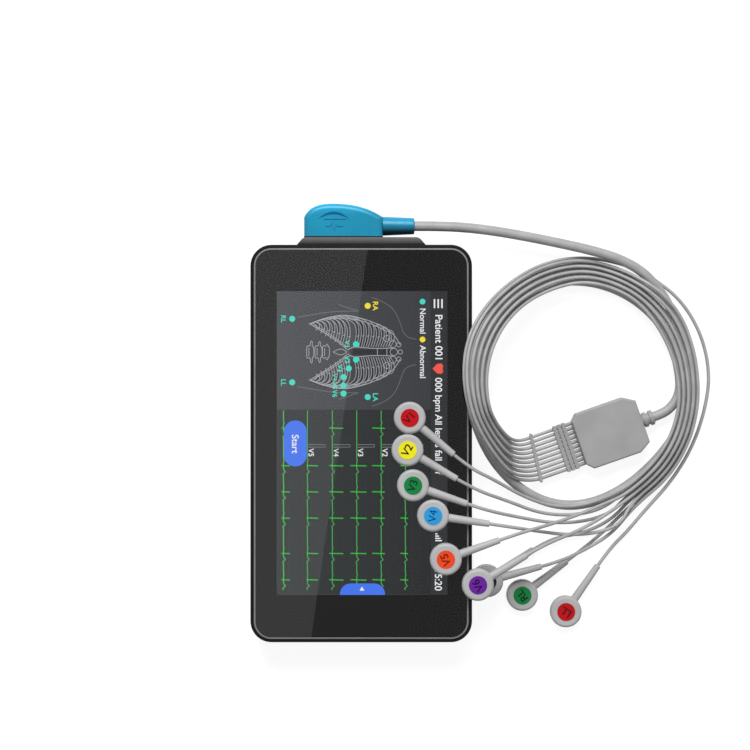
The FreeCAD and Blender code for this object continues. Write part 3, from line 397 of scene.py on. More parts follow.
@dataclass(frozen=True)
class LitPixels:
    """A lit part of the display, a little uneven and dimmer towards the page's top."""

    name: str
    colour: Colour
    dimmed: float = 1.0
    reach: Flat = (-0.033, 0.033)
    haze: float = 70.0
    haze_share: float = 0.08
    unlit: Colour = (8, 8, 9)

    def material(self) -> Material:
        """The lit colour as a material."""
        graph = Graph.named(self.name)
        graph.dim()
        haze = graph.math("MULTIPLY", graph.noise(self.haze, 2.0), self.haze_share)
        level = graph.math("ADD", graph.across(*self.reach), haze)
        full, least = linear(self.colour), linear(self.colour, self.dimmed)
        return graph.principled(
            Base_Color=linear(self.unlit),
            Roughness=0.7,
            Specular_IOR_Level=0.0,
            Emission_Color=graph.ramp(level, full, least, (0.0, 1.0)),
            Emission_Strength=1.0,
        )


@dataclass(frozen=True)
class CircuitBoard:
    """Green circuit board with a copper pattern under its lacquer."""

    name: str
    colour: Colour = (18, 74, 44)
    copper: Colour = (42, 110, 62)
    darker: float = 0.8
    fields: float = 260.0
    track: float = 0.04

    def material(self) -> Material:
        """The board as a material."""
        graph = Graph.named(self.name)
        tracks = graph.add(
            "TexBrick", Vector=graph.object_place(), Scale=self.fields, Mortar_Size=self.track,
            Color1=linear(self.colour), Color2=linear(self.colour, self.darker), Mortar=linear(self.copper),
        )
        return graph.principled(Base_Color=tracks.outputs["Color"], Roughness=0.35)


Finish = MouldedPlastic | Metal | ClearGlass | PrintedInk | CircuitBoard


def own(piece: Object, body: Body) -> None:
    """Let a new piece ride on its body.

    Args:
        piece: The new object.
        body: The body that it moves with.
    """
    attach(piece, body.value)


def dress(finish: Finish, *nodes: str) -> None:
    """Give the surfaces of CAD nodes one finish.

    Args:
        finish: The finish.
        *nodes: The nodes' names.
    """
    material = finish.material()
    for node in nodes:
        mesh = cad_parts[node].data
        mesh.materials.clear()
        mesh.materials.append(material)


def placed(name: str, data: ID) -> Object:
    """Put a new object of this name and data into the scene, at the origin.

    Args:
        name: The object's name.
        data: Its mesh, curve, letters, lamp or camera.

    Returns:
        The object.
    """
    piece = bpy.data.objects.new(name, data)
    bpy.context.scene.collection.objects.link(piece)
    return piece


def shaped(name: str, mesh: BMesh, material: Material, smooth: bool = False) -> Object:
    """Make an object from a finished bmesh.

    Args:
        name: The object's name.
        mesh: The shape, in place.
        material: Its finish.
        smooth: Whether its faces are shaded smooth.

    Returns:
        The object, at the origin.
    """
    data = bpy.data.meshes.new(name)
    mesh.to_mesh(data)
    mesh.free()
    data.materials.append(material)
    for face in data.polygons:
        face.use_smooth = smooth
    return placed(name, data)


def meshed(name: str, data: ID, place: Matrix) -> Object:
    """Turn a curve or letters into a mesh object.

    Args:
        name: The object's name.
        data: The curve or letters, made about the origin.
        place: Where the mesh goes, and how it is turned and sized.

    Returns:
        The mesh object, at the origin.
    """
    drawn = placed(name, data)
    bpy.context.view_layer.update()
    graph = bpy.context.evaluated_depsgraph_get()
    mesh = bpy.data.meshes.new_from_object(drawn.evaluated_get(graph))
    bpy.data.objects.remove(drawn)
    mesh.transform(place)
    return placed(name, mesh)


def lettering(
    name: str, words: str, size: float, material: Material, place: Matrix, weight: float = BOLDER,
) -> Object:
    """Set words in the plain built-in face, centred on a place.

    Words with a 4 stay plain, as its outline folds when it is made bolder.

    Args:
        name: The object's name.
        words: What it says.
        size: The letters' size in metres.
        material: Their finish.
        place: Where their middle goes and how they are turned.
        weight: How much bolder they are than the plain face, as a share of their size.

    Returns:
        The letters as a mesh object.
    """
    text = bpy.data.curves.new(name, "FONT")
    text.body = words
    text.size = size
    text.align_x = "CENTER"
    text.align_y = "CENTER"
    text.offset = 0.0 if "4" in words else weight * size
    text.materials.append(material)
    return meshed(name, text, place)


def tube(name: str, thickness: float, rings: int, steps: int, material: Material) -> Curve:
    """Start a curve whose lines are round in section.

    Args:
        name: The curve's name.
        thickness: The lines' diameter in metres.
        rings: How finely their section is rounded.
        steps: How finely their length is rounded.
        material: Their finish.

    Returns:
        The curve, still without lines.
    """
    curve = bpy.data.curves.new(name, "CURVE")
    curve.dimensions = "3D"
    curve.bevel_depth = thickness / 2
    curve.bevel_resolution = rings
    curve.resolution_u = steps
    curve.materials.append(material)
    return curve


def thread(curve: Curve, points: Sequence[Point], curved: bool = True) -> Spline:
    """Add one line to a curve.

    Args:
        curve: The curve.
        points: The line's points in metres.
        curved: Whether it runs smoothly by its points, or straight from one to the next.

    Returns:
        The line.
    """
    spline = curve.splines.new("NURBS" if curved else "POLY")
    spline.points.add(len(points) - 1)
    for knot, place in zip(spline.points, points):
        knot.co = (*place, 1.0)
    if curved:
        spline.order_u = 3
        spline.use_endpoint_u = True
    return spline


def ribbons(
    name: str, strokes: Sequence[Sequence[Flat]], width: float, material: Material, place: Matrix,
    smooth: bool = False, tapered: bool = False,
) -> Object:
    """Draw lines as thin flat strokes.

    Args:
        name: The object's name.
        strokes: Each line's points in metres, on the ground.
        width: The lines' width in metres.
        material: Their finish.
        place: Where the ground's origin goes, and how it is turned.
        smooth: Whether lines of three or more points are curves.
        tapered: Whether the lines are thickest at their middle and run out at their ends.

    Returns:
        The strokes as a mesh object.
    """
    curve = tube(name, width, rings=1, steps=6, material=material)
    for stroke in strokes:
        last = len(stroke) - 1
        line = thread(curve, [(*spot, 0.0) for spot in stroke], smooth and last > 1)
        if tapered:
            for number, knot in enumerate(line.points):
                knot.radius = RIBBON_TIP + (1 - RIBBON_TIP) * math.sin(math.pi * number / last)
    return meshed(name, curve, place @ Matrix.Scale(RIBBON_FLATNESS, 4, UP))


def rounded_card(width: float, length: float, corner: float) -> BMesh:
    """A flat rectangle about the origin, with rounded corners if asked.

    Args:
        width: Its size along X.
        length: Its size along Y.
        corner: The radius of its corners, or 0.

    Returns:
        The rectangle as one face.
    """
    mesh = bmesh.new()
    bmesh.ops.create_grid(mesh, x_segments=1, y_segments=1, size=0.5)
    bmesh.ops.scale(mesh, vec=(width, length, 1.0), verts=mesh.verts)
    if corner:
        bmesh.ops.bevel(
            mesh, geom=mesh.verts, offset=corner, segments=CORNER_STEPS, affect="VERTICES", profile=0.5,
            material=-1,
        )
    return mesh


def joined(name: str, pieces: Sequence[Object]) -> Object:
    """Join several mesh objects of one finish into one.

    Args:
        name: The joined object's name.
        pieces: The mesh objects, which are removed.

    Returns:
        The joined object.
    """
    whole = bmesh.new()
    for piece in pieces:
        whole.from_mesh(piece.data)
    material = pieces[0].data.materials[0]
    for piece in pieces:
        bpy.data.objects.remove(piece)
    return shaped(name, whole, material)


@dataclass
class Camera:
    """The camera, straight above the table."""

    place: Point = (0.00553, 0.0259, 0.919)
    lens: float = 107.73
    sensor: float = 36.0

    def build(self) -> None:
        """Set up the camera and make it the scene's."""
        data = bpy.data.cameras.new("camera")
        data.lens = self.lens
        data.sensor_width = self.sensor
        camera = placed("camera", data)
        camera.location = self.place
        bpy.context.scene.camera = camera


@dataclass
class Cord:
    """A free cord that follows its route in one smooth line."""

    name: str
    route: list[Point]
    diameter: float
    length: float
    far_end: str
    node: str
    slot: str
    pieces: tuple[str, ...]
    rings: int = 5
    steps: int = 10

    def build(self, material: Material) -> None:
        """Args:
            material: The jacket's finish.
        """
        curve = tube(self.name, self.diameter, self.rings, self.steps, material)
        curve.use_fill_caps = True
        thread(curve, self.route)
        cord = placed(self.name, curve)
        own(cord, Body.LEADS)
        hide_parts(self.node)


@dataclass
class Yoke:
    """The yoke: where it lies, how its comb holds the leads, and its looks."""

    middle: Flat = (0.102, 0.0029)
    turn: float = 19.3
    right: float = 0.013
    comb_end: float = -0.0225
    height: float = 0.004
    boot_length: float = 0.005
    pitch: float = 0.0019
    lanes: int = 10
    grey: Colour = (160, 160, 161)

    def spot(self, along: float, across: float, height: float) -> Point:
        """A point given along and across the yoke.

        Args:
            along: How far from its middle towards the trunk.
            across: How far to its left, seen from the leads.
            height: How far above the table.

        Returns:
            The point.
        """
        turn = math.radians(self.turn)
        x = self.middle[0] + along * math.cos(turn) - across * math.sin(turn)
        y = self.middle[1] + along * math.sin(turn) + across * math.cos(turn)
        return (x, y, height)

    def lane(self, number: int) -> float:
        """How far across the yoke one lead lies in the comb."""
        return ((self.lanes - 1) / 2 - number) * self.pitch

    def dress(self) -> None:
        """Give the yoke's nodes their finish."""
        shell = MouldedPlastic("yoke_grey", self.grey, roughness=0.45, specular=0.25)
        dress(shell, "yoke_upper", "yoke_lower", "yoke_boot", "lead_comb", "lead_separator")


@dataclass
class Trunk:
    """The trunk cable from the plug to the yoke, once and a half round the coil."""

    yoke: Yoke
    boot_tip: Point = (0.0215, 0.0862, 0.0095)
    plug_straight: float = 0.009
    yoke_straight: float = 0.0039
    diameter: float = 0.004
    length: float = 0.4553
    free: ClassVar[list[Point]] = [
        (0.0424, 0.0857, 0.0091), (0.055, 0.0842, 0.0081), (0.068, 0.082, 0.0071),
        (0.0805, 0.0795, 0.0064), (0.0925, 0.0769, 0.006), (0.1042, 0.0736, 0.0056),
    ]
    under_leads: ClassVar[list[Point]] = [
        (0.1146, 0.0682, 0.005), (0.1226, 0.0596, 0.003), (0.1288, 0.0484, 0.00205),
        (0.1331, 0.036, 0.00205), (0.1348, 0.023, 0.00205), (0.133, 0.0108, 0.00205),
        (0.127, -0.0007, 0.00205), (0.1187, -0.0109, 0.00205), (0.1088, -0.0194, 0.00205),
        (0.0974, -0.0255, 0.00205), (0.0855, -0.0278, 0.00205), (0.074, -0.0257, 0.0032),
        (0.064, -0.02, 0.0062), (0.0552, -0.0115, 0.0118), (0.049, -0.0016, 0.0176),
        (0.0449, 0.0092, 0.0217), (0.043, 0.0207, 0.0217), (0.0436, 0.032, 0.0216),
        (0.0474, 0.0426, 0.0201), (0.0536, 0.0514, 0.0148), (0.0622, 0.0583, 0.009),
        (0.0723, 0.0628, 0.0048), (0.0837, 0.0646, 0.0026), (0.095, 0.0639, 0.00205),
        (0.1058, 0.0603, 0.00205), (0.1156, 0.054, 0.00205), (0.1234, 0.0454, 0.00205),
        (0.1279, 0.036, 0.00205), (0.1295, 0.0288, 0.0021), (0.1302, 0.02302, 0.0024),
        (0.1298, 0.01911, 0.0028), (0.12834, 0.01548, 0.0033), (0.12588, 0.01241, 0.00375),
    ]

    def route(self) -> list[Point]:
        """All the points of the trunk, from the plug's boot to the yoke's."""
        x, y, z = self.boot_tip
        far = self.yoke.right + self.yoke.boot_length
        ends = [
            self.yoke.spot(far + self.yoke_straight, 0.0, self.yoke.height),
            self.yoke.spot(far, 0.0, self.yoke.height),
        ]
        starts = [self.boot_tip, (x + self.plug_straight, y, z)]
        return starts + self.free + self.under_leads + ends

    def build(self, jacket: Material) -> None:
        """Lay the trunk.

        Args:
            jacket: The cable's finish.
        """
        pieces = ("yoke_boot", "yoke_lower", "yoke_upper", "lead_comb")
        Cord(
            "trunk_cord", self.route(), self.diameter, self.length, "fitting",
            "trunk_cable", "cable_grey", pieces,
        ).build(jacket)

    def nearest(self, x: float, y: float) -> Flat:
        """How far a place is from the trunk in plan, and how high the trunk is there.

        Args:
            x: The place across the table.
            y: The place along the table.

        Returns:
            The distance and the trunk's height.
        """
        best = (math.inf, 0.0)
        for a, b in zip(self.under_leads, self.under_leads[1:]):
            dx, dy = b[0] - a[0], b[1] - a[1]
            share = ((x - a[0]) * dx + (y - a[1]) * dy) / (dx * dx + dy * dy)
            share = min(1.0, max(0.0, share))
            away = math.hypot(x - a[0] - share * dx, y - a[1] - share * dy)
            best = min(best, (away, a[2] + share * (b[2] - a[2])))
        return best


@dataclass(frozen=True)
class Lead:
    """One electrode lead: its lane, level and length, and its snap's place."""

    name: str
    lane: int
    level: int
    length: float
    snap: Flat
    turn: float
    seat: Seat
    fan: tuple[Point, ...]

    def direction(self) -> Vector:
        """The direction in which the snap's strain relief points."""
        turn = math.radians(self.turn)
        return Vector((math.cos(turn), math.sin(turn), 0.0))


LEADS = (
    Lead("v1", 0, 1, 0.309, (0.0194, 0.0088), -39.9, Seat.GLASS, (
        (0.091, -0.0274, 0.0052), (0.0778, -0.0277, 0.0075), (0.0653, -0.0232, 0.0125),
        (0.0536, -0.0162, 0.0185),
    )),
    Lead("v2", 1, 0, 0.3127, (0.0185, -0.0041), -30.4, Seat.GLASS, (
        (0.0972, -0.0292, 0.0045), (0.084, -0.0314, 0.006), (0.0712, -0.0298, 0.0095),
        (0.0598, -0.0251, 0.015),
    )),
    Lead("v5", 2, 1, 0.302, (0.0338, -0.0477), 19.4, Seat.GLASS, (
        (0.0993, -0.0261, 0.008), (0.0885, -0.0304, 0.0105), (0.0768, -0.0341, 0.015),
    )),
    Lead("v3", 3, 0, 0.3238, (0.0207, -0.0182), -18.8, Seat.GLASS, (
        (0.1015, -0.0306, 0.0035), (0.0906, -0.0338, 0.005), (0.0773, -0.0342, 0.0085),
        (0.0644, -0.0316, 0.0139),
    )),
    Lead("v6", 4, 1, 0.3109, (0.0466, -0.0579), 31.0, Seat.GLASS, (
        (0.0965, -0.0325, 0.0095), (0.0862, -0.0376, 0.0135),
    )),
    Lead("ra", 5, 0, 0.3109, (0.0511, -0.0578), 33.0, Seat.TABLE, (
        (0.1022, -0.033, 0.003), (0.0908, -0.0387, 0.0025),
    )),
    Lead("v4", 6, 1, 0.3431, (0.0287, -0.0303), -8.3, Seat.GLASS, (
        (0.1055, -0.0348, 0.007), (0.096, -0.0382, 0.0076), (0.0842, -0.039, 0.0094),
        (0.0721, -0.0373, 0.013),
    )),
    Lead("rl", 7, 0, 0.3164, (0.0656, -0.0639), 37.1, Seat.TABLE, (
        (0.1004, -0.0369, 0.0012),
    )),
    Lead("la", 8, 1, 0.336, (0.0511, -0.0578), 15.2, Seat.PILE, (
        (0.1023, -0.0386, 0.0046), (0.0917, -0.0447, 0.0062),
    )),
    Lead("ll", 9, 0, 0.3268, (0.0834, -0.0706), 55.0, Seat.TABLE, (
        (0.1082, -0.0386, 0.001),
    )),
)


@dataclass
class LeadBundle:
    """The ten leads, from the comb round the coil to their snaps."""

    yoke: Yoke
    trunk: Trunk
    diameter: float = 0.0014
    straights: Flat = (0.0066, 0.0144)
    rise: float = 0.0001
    approach: float = 0.0085
    relief: float = 0.0228
    snap_middle: float = 0.0025
    floor_gap: float = 0.00005
    drape_from: int = 2
    drape_lift: float = 0.0041
    drape_fall: float = 0.75
    drape_flat: float = 0.001
    stray_lead: str = "ll"
    stations: ClassVar[list[tuple[Point, Point, float]]] = [
        ((0.0595, 0.0003, 0.0073), (0.0598, -0.0158, 0.0118), 0.0031),
        ((0.0542, 0.0064, 0.0134), (0.0483, -0.0006, 0.0222), 0.0032),
        ((0.0508, 0.0131, 0.0164), (0.0429, 0.0115, 0.0192), 0.0026),
        ((0.0497, 0.0239, 0.0176), (0.0406, 0.0255, 0.0193), 0.0023),
        ((0.0514, 0.0347, 0.017), (0.0421, 0.0395, 0.0193), 0.0023),
        ((0.0569, 0.046, 0.014), (0.0485, 0.052, 0.017), 0.0023),
        ((0.0662, 0.0554, 0.009), (0.0593, 0.0631, 0.0115), 0.0023),
        ((0.0779, 0.0613, 0.004), (0.0738, 0.0715, 0.005), 0.0023),
        ((0.0903, 0.064, 0.0008), (0.0903, 0.0744, 0.0008), 0.0023),
        ((0.1027, 0.0612, 0.0), (0.1053, 0.0706, 0.0), 0.0023),
        ((0.1129, 0.0553, 0.0), (0.119, 0.063, 0.0), 0.0024),
        ((0.121, 0.0451, 0.0), (0.13, 0.0528, 0.0), 0.0023),
        ((0.1263, 0.0341, 0.0), (0.1359, 0.038, 0.0), 0.0023),
        ((0.1288, 0.023, 0.0), (0.138, 0.023, 0.0), 0.0023),
        ((0.1288, 0.012, 0.0058), (0.1374, 0.0102, 0.0), 0.0023),
        ((0.1255, 0.0006, 0.0), (0.1339, -0.0034, 0.0), 0.0023),
        ((0.1186, -0.01, 0.0), (0.1259, -0.017, 0.0), 0.0023),
        ((0.1065, -0.0208, 0.0), (0.1114, -0.0289, 0.0), 0.0023),
    ]
    stray: ClassVar[dict[int, Point]] = {
        9: (0.1075, 0.0714, 0.0008), 10: (0.12, 0.0652, 0.0008),
        11: (0.131, 0.0564, 0.0008), 12: (0.1392, 0.0425, 0.0008),
        13: (0.1426, 0.0265, 0.0008), 14: (0.1406, 0.0118, 0.0008),
        15: (0.1354, -0.0036, 0.0008), 16: (0.1268, -0.0176, 0.0008),
        17: (0.1152, -0.0302, 0.0008),
    }

    def drape(self, x: float, y: float, floor: float) -> float:
        """The height of a bottom-level lead over the surface or the trunk under it.

        Args:
            x: Its place across the table.
            y: Its place along the table.
            floor: The surface's height there.

        Returns:
            The height of its middle.
        """
        away, trunk = self.trunk.nearest(x, y)
        over = trunk + self.drape_lift - self.drape_fall * max(0.0, away - self.drape_flat)
        return max(floor + self.diameter / 2 + self.floor_gap, over)

    def coil(self, lead: Lead) -> list[Point]:
        """A lead's points round the coil, from its place between the bundle's two edges.

        Args:
            lead: The lead.

        Returns:
            One point at each station.
        """
        share = lead.lane / (self.yoke.lanes - 1)
        points: list[Point] = []
        for number, (inner, outer, step) in enumerate(self.stations):
            x, y, floor = (i + (o - i) * share for i, o in zip(inner, outer))
            if lead.name == self.stray_lead and number in self.stray:
                points.append(self.stray[number])
            elif number < self.drape_from:
                points.append((x, y, floor + self.diameter / 2 + step * lead.level))
            else:
                points.append((x, y, self.drape(x, y, floor) + step * lead.level))
        return points

    def route(self, lead: Lead) -> list[Point]:
        """All the points of a lead, from the comb to its snap's strain relief.

        Args:
            lead: The lead.

        Returns:
            The route.
        """
        across = self.yoke.lane(lead.lane)
        end, height = self.yoke.comb_end, self.yoke.height
        near, far = self.straights
        start = [
            self.yoke.spot(end, across, height),
            self.yoke.spot(end - near, across, height),
            self.yoke.spot(end - far, across, height + self.rise),
        ]
        tip = Vector((*lead.snap, lead.seat.value + self.snap_middle)) + lead.direction() * self.relief
        out = tip + lead.direction() * self.approach
        return start + self.coil(lead) + list(lead.fan) + [tuple(out), tuple(tip)]

    def build(self, jacket: Material) -> None:
        """Lay the ten leads.

        Args:
            jacket: The leads' finish.
        """
        for lead in LEADS:
            Cord(
                f"cord_{lead.name}", self.route(lead), self.diameter, lead.length, "connector",
                f"lead_{lead.name}", "lead_grey", (f"snap_{lead.name}",),
            ).build(jacket)


@dataclass
class Studio:
    """The white table, the soft light and the grey band of sky that the glass reflects."""

    table_size: float = 6.0
    table_gap: float = 0.0001
    table_grey: Colour = (140, 140, 140)
    table_lift: float = 0.88
    world_share: float = 0.28
    aim: Point = (0.04, 0.0, 0.0)
    key_place: Point = (-0.1, 1.15, 1.2)
    key_size: float = 0.9
    key_power: float = 27.4
    fill_place: Point = (0.9, -0.6, 1.4)
    fill_size: float = 1.2
    fill_power: float = 1.5
    band_side: Point = (0.98951, -0.14406, 0.01126)
    band_width: float = 0.116
    band_level: float = 0.44

    def world(self) -> None:
        """Light the scene evenly, with white where the camera looks and a grey band for gloss."""
        world = bpy.data.worlds.new("studio")
        bpy.context.scene.world = world
        graph = Graph(world, "OutputWorld")
        away = graph.beside(self.band_side)
        inside = graph.math(
            "MULTIPLY", graph.math("GREATER_THAN", away, 0.0), graph.math("LESS_THAN", away, self.band_width),
        )
        band = graph.math("MULTIPLY", inside, graph.add("LightPath").outputs["Is Glossy Ray"])
        lost = graph.math("MULTIPLY", band, 1 - self.band_level)
        level = graph.math("MAXIMUM", graph.math("SUBTRACT", graph.seen(), lost), self.world_share)
        graph.finish(graph.add("Background", Color=linear(WHITE), Strength=level))

    def lamp(self, name: str, place: Point, size: float, power: float) -> None:
        """Hang one square soft lamp, aimed at the object's middle.

        Args:
            name: The lamp's name.
            place: Where it hangs.
            size: The side of its panel.
            power: Its power in watts.
        """
        data = bpy.data.lights.new(name, "AREA")
        data.size = size
        data.energy = power
        lamp = placed(name, data)
        lamp.location = place
        way = Vector(self.aim) - Vector(place)
        lamp.rotation_euler = way.to_track_quat("-Z", "Y").to_euler()

    def table(self) -> None:
        """Lay the table, which looks white but still takes the object's shadow."""
        graph = Graph.named("table_white")
        graph.dim()
        top = graph.principled(
            Base_Color=linear(self.table_grey),
            Roughness=0.9,
            Specular_IOR_Level=0.0,
            Emission_Color=linear(WHITE),
            Emission_Strength=graph.math("MULTIPLY", graph.seen(), self.table_lift),
        )
        mesh = bmesh.new()
        bmesh.ops.create_grid(mesh, x_segments=1, y_segments=1, size=self.table_size / 2)
        bmesh.ops.translate(mesh, vec=(0.0, 0.0, -self.table_gap), verts=mesh.verts)
        shaped("table", mesh, top)

    def build(self) -> None:
        """Set up the whole studio."""
        self.world()
        self.lamp("key_lamp", self.key_place, self.key_size, self.key_power)
        self.lamp("fill_lamp", self.fill_place, self.fill_size, self.fill_power)
        self.table()
        bpy.context.scene.view_settings.view_transform = "Standard"


@dataclass
class Page:
    """The lit page under the glass, with its top to the case's right.

    Places and sizes on it are in millimetres, along it from the case's top and up it from the case's left.
    """

    middle: Flat = (0.00035, -0.0014)
    width: float = 0.0685
    length: float = 0.1219
    seat: float = 0.0179
    line: float = 0.32
    dot_segments: int = 32
    dot_layer: float = 0.3
    word_layer: float = 0.33
    curved: ClassVar[tuple[str, ...]] = ("bone", "skin", "shade")
    layers: ClassVar[dict[str, float]] = {
        "shade": 0.08, "grid": 0.1, "skin": 0.13, "bone": 0.16, "green": 0.2, "spike": 0.23,
        "white": 0.26, "grey": 0.25, "teal": 0.28, "yellow": 0.28, "red": 0.28, "blue": 0.36,
    }
    pixels: ClassVar[dict[str, tuple[Colour, float]]] = {
        "white": ((236, 237, 239), 1.0), "grey": ((146, 150, 154), 1.0), "green": ((70, 186, 84), 1.0),
        "spike": ((44, 206, 56), 1.0), "teal": ((64, 218, 194), 1.0), "yellow": ((244, 222, 44), 1.0),
        "red": ((240, 84, 72), 1.0), "blue": ((64, 116, 236), 1.0), "bone": ((168, 170, 174), 0.85),
        "skin": ((112, 114, 118), 0.7), "shade": ((50, 50, 54), 0.6), "grid": ((56, 60, 66), 0.5),
        "page": ((60, 61, 64), 0.5), "panel": ((73, 75, 80), 0.5), "chart": ((49, 53, 55), 0.36),
    }
    lines: dict[tuple[str, float], list[list[Flat]]] = field(default_factory=dict)
    fills: dict[str, list[Object]] = field(default_factory=dict)

    def __post_init__(self) -> None:
        """Mix the page's colours and work out its size in millimetres."""
        self.ink = {
            name: LitPixels(f"pixels_{name}", *look).material() for name, look in self.pixels.items()
        }
        self.long, self.wide = self.length * MM_PER_M, self.width * MM_PER_M

    def place(self, along: float, up: float, layer: float) -> Matrix:
        """The matrix that sets a shape made about the origin, with its x along the page, onto it.

        Args:
            along: How far along the page.
            up: How far up the page.
            layer: How far above the glass's underside.

        Returns:
            The matrix, in metres.
        """
        x = self.middle[0] - self.width / 2 + up / MM_PER_M
        y = self.middle[1] + self.length / 2 - along / MM_PER_M
        spot = Matrix.Translation((x, y, self.seat + layer / MM_PER_M))
        return spot @ Matrix.Rotation(-math.pi / 2, 4, "Z")

    def stroke(self, ink: str, points: Sequence[Flat], width: float = 0.0) -> None:
        """Note a line to be drawn, of this width or else the usual one."""
        self.lines.setdefault((ink, width or self.line), []).append(list(points))

    def fill(self, ink: str, mesh: BMesh, along: float, up: float, layer: float) -> None:
        """Note a filled shape.

        Args:
            ink: The colour's name.
            mesh: The flat shape in metres, about the origin, with its x along the page.
            along: Where its middle goes along the page.
            up: Where its middle goes up the page.
            layer: Its height over the glass's underside.
        """
        bmesh.ops.transform(mesh, matrix=self.place(along, up, layer), verts=mesh.verts)
        shapes = self.fills.setdefault(ink, [])
        shapes.append(shaped(f"page_{ink}_{len(shapes)}", mesh, self.ink[ink]))

    def panel(self, ink: str, along: Flat, up: Flat, layer: float, corner: float = 0.0) -> None:
        """Fill a rectangle between two places along and two up the page, with rounded corners if asked."""
        sides = ((span[1] - span[0]) / MM_PER_M for span in (along, up))
        self.fill(ink, rounded_card(*sides, corner / MM_PER_M), sum(along) / 2, sum(up) / 2, layer)

    def dot(self, ink: str, along: float, up: float, radius: float) -> None:
        """Fill a round dot.

        Args:
            ink: The colour's name.
            along: Its middle along the page.
            up: Its middle up the page.
            radius: Its radius.
        """
        mesh = bmesh.new()
        bmesh.ops.create_circle(mesh, cap_ends=True, segments=self.dot_segments, radius=radius / MM_PER_M)
        self.fill(ink, mesh, along, up, self.dot_layer)

    def words(
        self, ink: str, text: str, along: float, up: float, size: float, weight: float = BOLDER,
        layer: float = 0.0,
    ) -> None:
        """Set words on the page.

        Args:
            ink: The colour's name.
            text: What they say.
            along: Their middle along the page.
            up: Their middle up the page.
            size: The letters' size.
            weight: How much bolder they are than the plain face, as a share of their size.
            layer: Their height over the glass's underside, or 0 for the usual one.
        """
        shapes = self.fills.setdefault(ink, [])
        place = self.place(along, up, layer or self.word_layer)
        name = f"words_{ink}_{len(shapes)}"
        shapes.append(lettering(name, text, size / MM_PER_M, self.ink[ink], place, weight))

    def draw(self) -> None:
        """Draw the noted lines, each colour in a layer of its own, and join the filled shapes."""
        for (ink, width), strokes in self.lines.items():
            lines = [[(along / MM_PER_M, up / MM_PER_M) for along, up in points] for points in strokes]
            drawn = ribbons(
                f"lines_{ink}_{round(width * MM_PER_M)}", lines, width / MM_PER_M, self.ink[ink],
                self.place(0.0, 0.0, self.layers[ink]), smooth=ink in self.curved,
            )
            own(drawn, Body.MONITOR)
        for ink, shapes in self.fills.items():
            own(joined(f"page_{ink}", shapes), Body.MONITOR)


@dataclass
class StatusBar:
    """The bar along the page's top: menu, user, heart, rate, signal, battery and clock."""

    page: Page
    menu: tuple[float, ...] = (63.3, 64.8, 66.3)
    menu_span: Flat = (3.2, 6.8)
    menu_width: float = 0.6
    lobe: float = 1.15
    lobe_place: Flat = (0.95, 0.6)
    lobe_segments: int = 24
    tip: float = 2.1
    tip_drop: float = 0.4
    tip_lift: float = 0.01
    heart_place: Point = (31.1, 65.0, 0.3)
    signal: tuple[float, ...] = (0.9, 1.5, 2.1, 2.7)
    signal_place: Flat = (97.4, 63.6)
    signal_step: float = 0.9
    signal_width: float = 0.5
    battery: tuple[Flat, Flat] = ((102.6, 106.4), (63.7, 66.0))
    battery_line: float = 0.3
    charge: tuple[Flat, Flat] = ((103.0, 105.3), (64.1, 65.6))
    charge_layer: float = 0.3
    sayings: ClassVar[tuple[tuple[str, float, float, float], ...]] = (
        ("Patient 001", 18.7, 64.9, 4.1), ("000 bpm", 41.6, 64.8, 3.9),
        ("All leads fall off", 61.4, 64.8, 3.9), ("15:20", 115.8, 64.7, 4.0),
    )

    def heart(self) -> BMesh:
        """A heart of two round lobes and a square on its corner."""
        heart = bmesh.new()
        out, up = (length / MM_PER_M for length in self.lobe_place)
        for side in (-1, 1):
            lobe = bmesh.ops.create_circle(
                heart, cap_ends=True, segments=self.lobe_segments, radius=self.lobe / MM_PER_M,
            )
            bmesh.ops.translate(heart, vec=(side * out, up, 0.0), verts=lobe["verts"])
        point = bmesh.ops.create_circle(heart, cap_ends=True, segments=4, radius=self.tip / MM_PER_M)
        move = (0.0, -self.tip_drop / MM_PER_M, self.tip_lift / MM_PER_M)
        bmesh.ops.translate(heart, vec=move, verts=point["verts"])
        return heart

    def draw(self) -> None:
        """Draw the bar."""
        for up in self.menu:
            self.page.stroke("white", [(along, up) for along in self.menu_span], self.menu_width)
        for saying in self.sayings:
            self.page.words("white", *saying)
        self.page.fill("red", self.heart(), *self.heart_place)
        along, foot = self.signal_place
        for number, tall in enumerate(self.signal):
            mast = along + number * self.signal_step
            self.page.stroke("white", [(mast, foot), (mast, foot + tall)], self.signal_width)
        (left, right), (low, high) = self.battery
        outline = [(left, low), (right, low), (right, high), (left, high), (left, low)]
        self.page.stroke("white", outline, self.battery_line)
        self.page.panel("white", *self.charge, self.charge_layer)


@dataclass(frozen=True)
class RibRow:
    """Pairs of ribs that follow one another down the breastbone by even steps."""

    count: int
    start: Flat
    start_step: Flat
    end: float
    end_step: float
    bulge: float
    bulge_step: float

    def at(self, number: int) -> tuple[Flat, float, float]:
        """Where one pair starts, how far up the page it ends, and how far it rises."""
        out, up = (first + step * number for first, step in zip(self.start, self.start_step))
        return (out, up), self.end + self.end_step * number, self.bulge + self.bulge_step * number


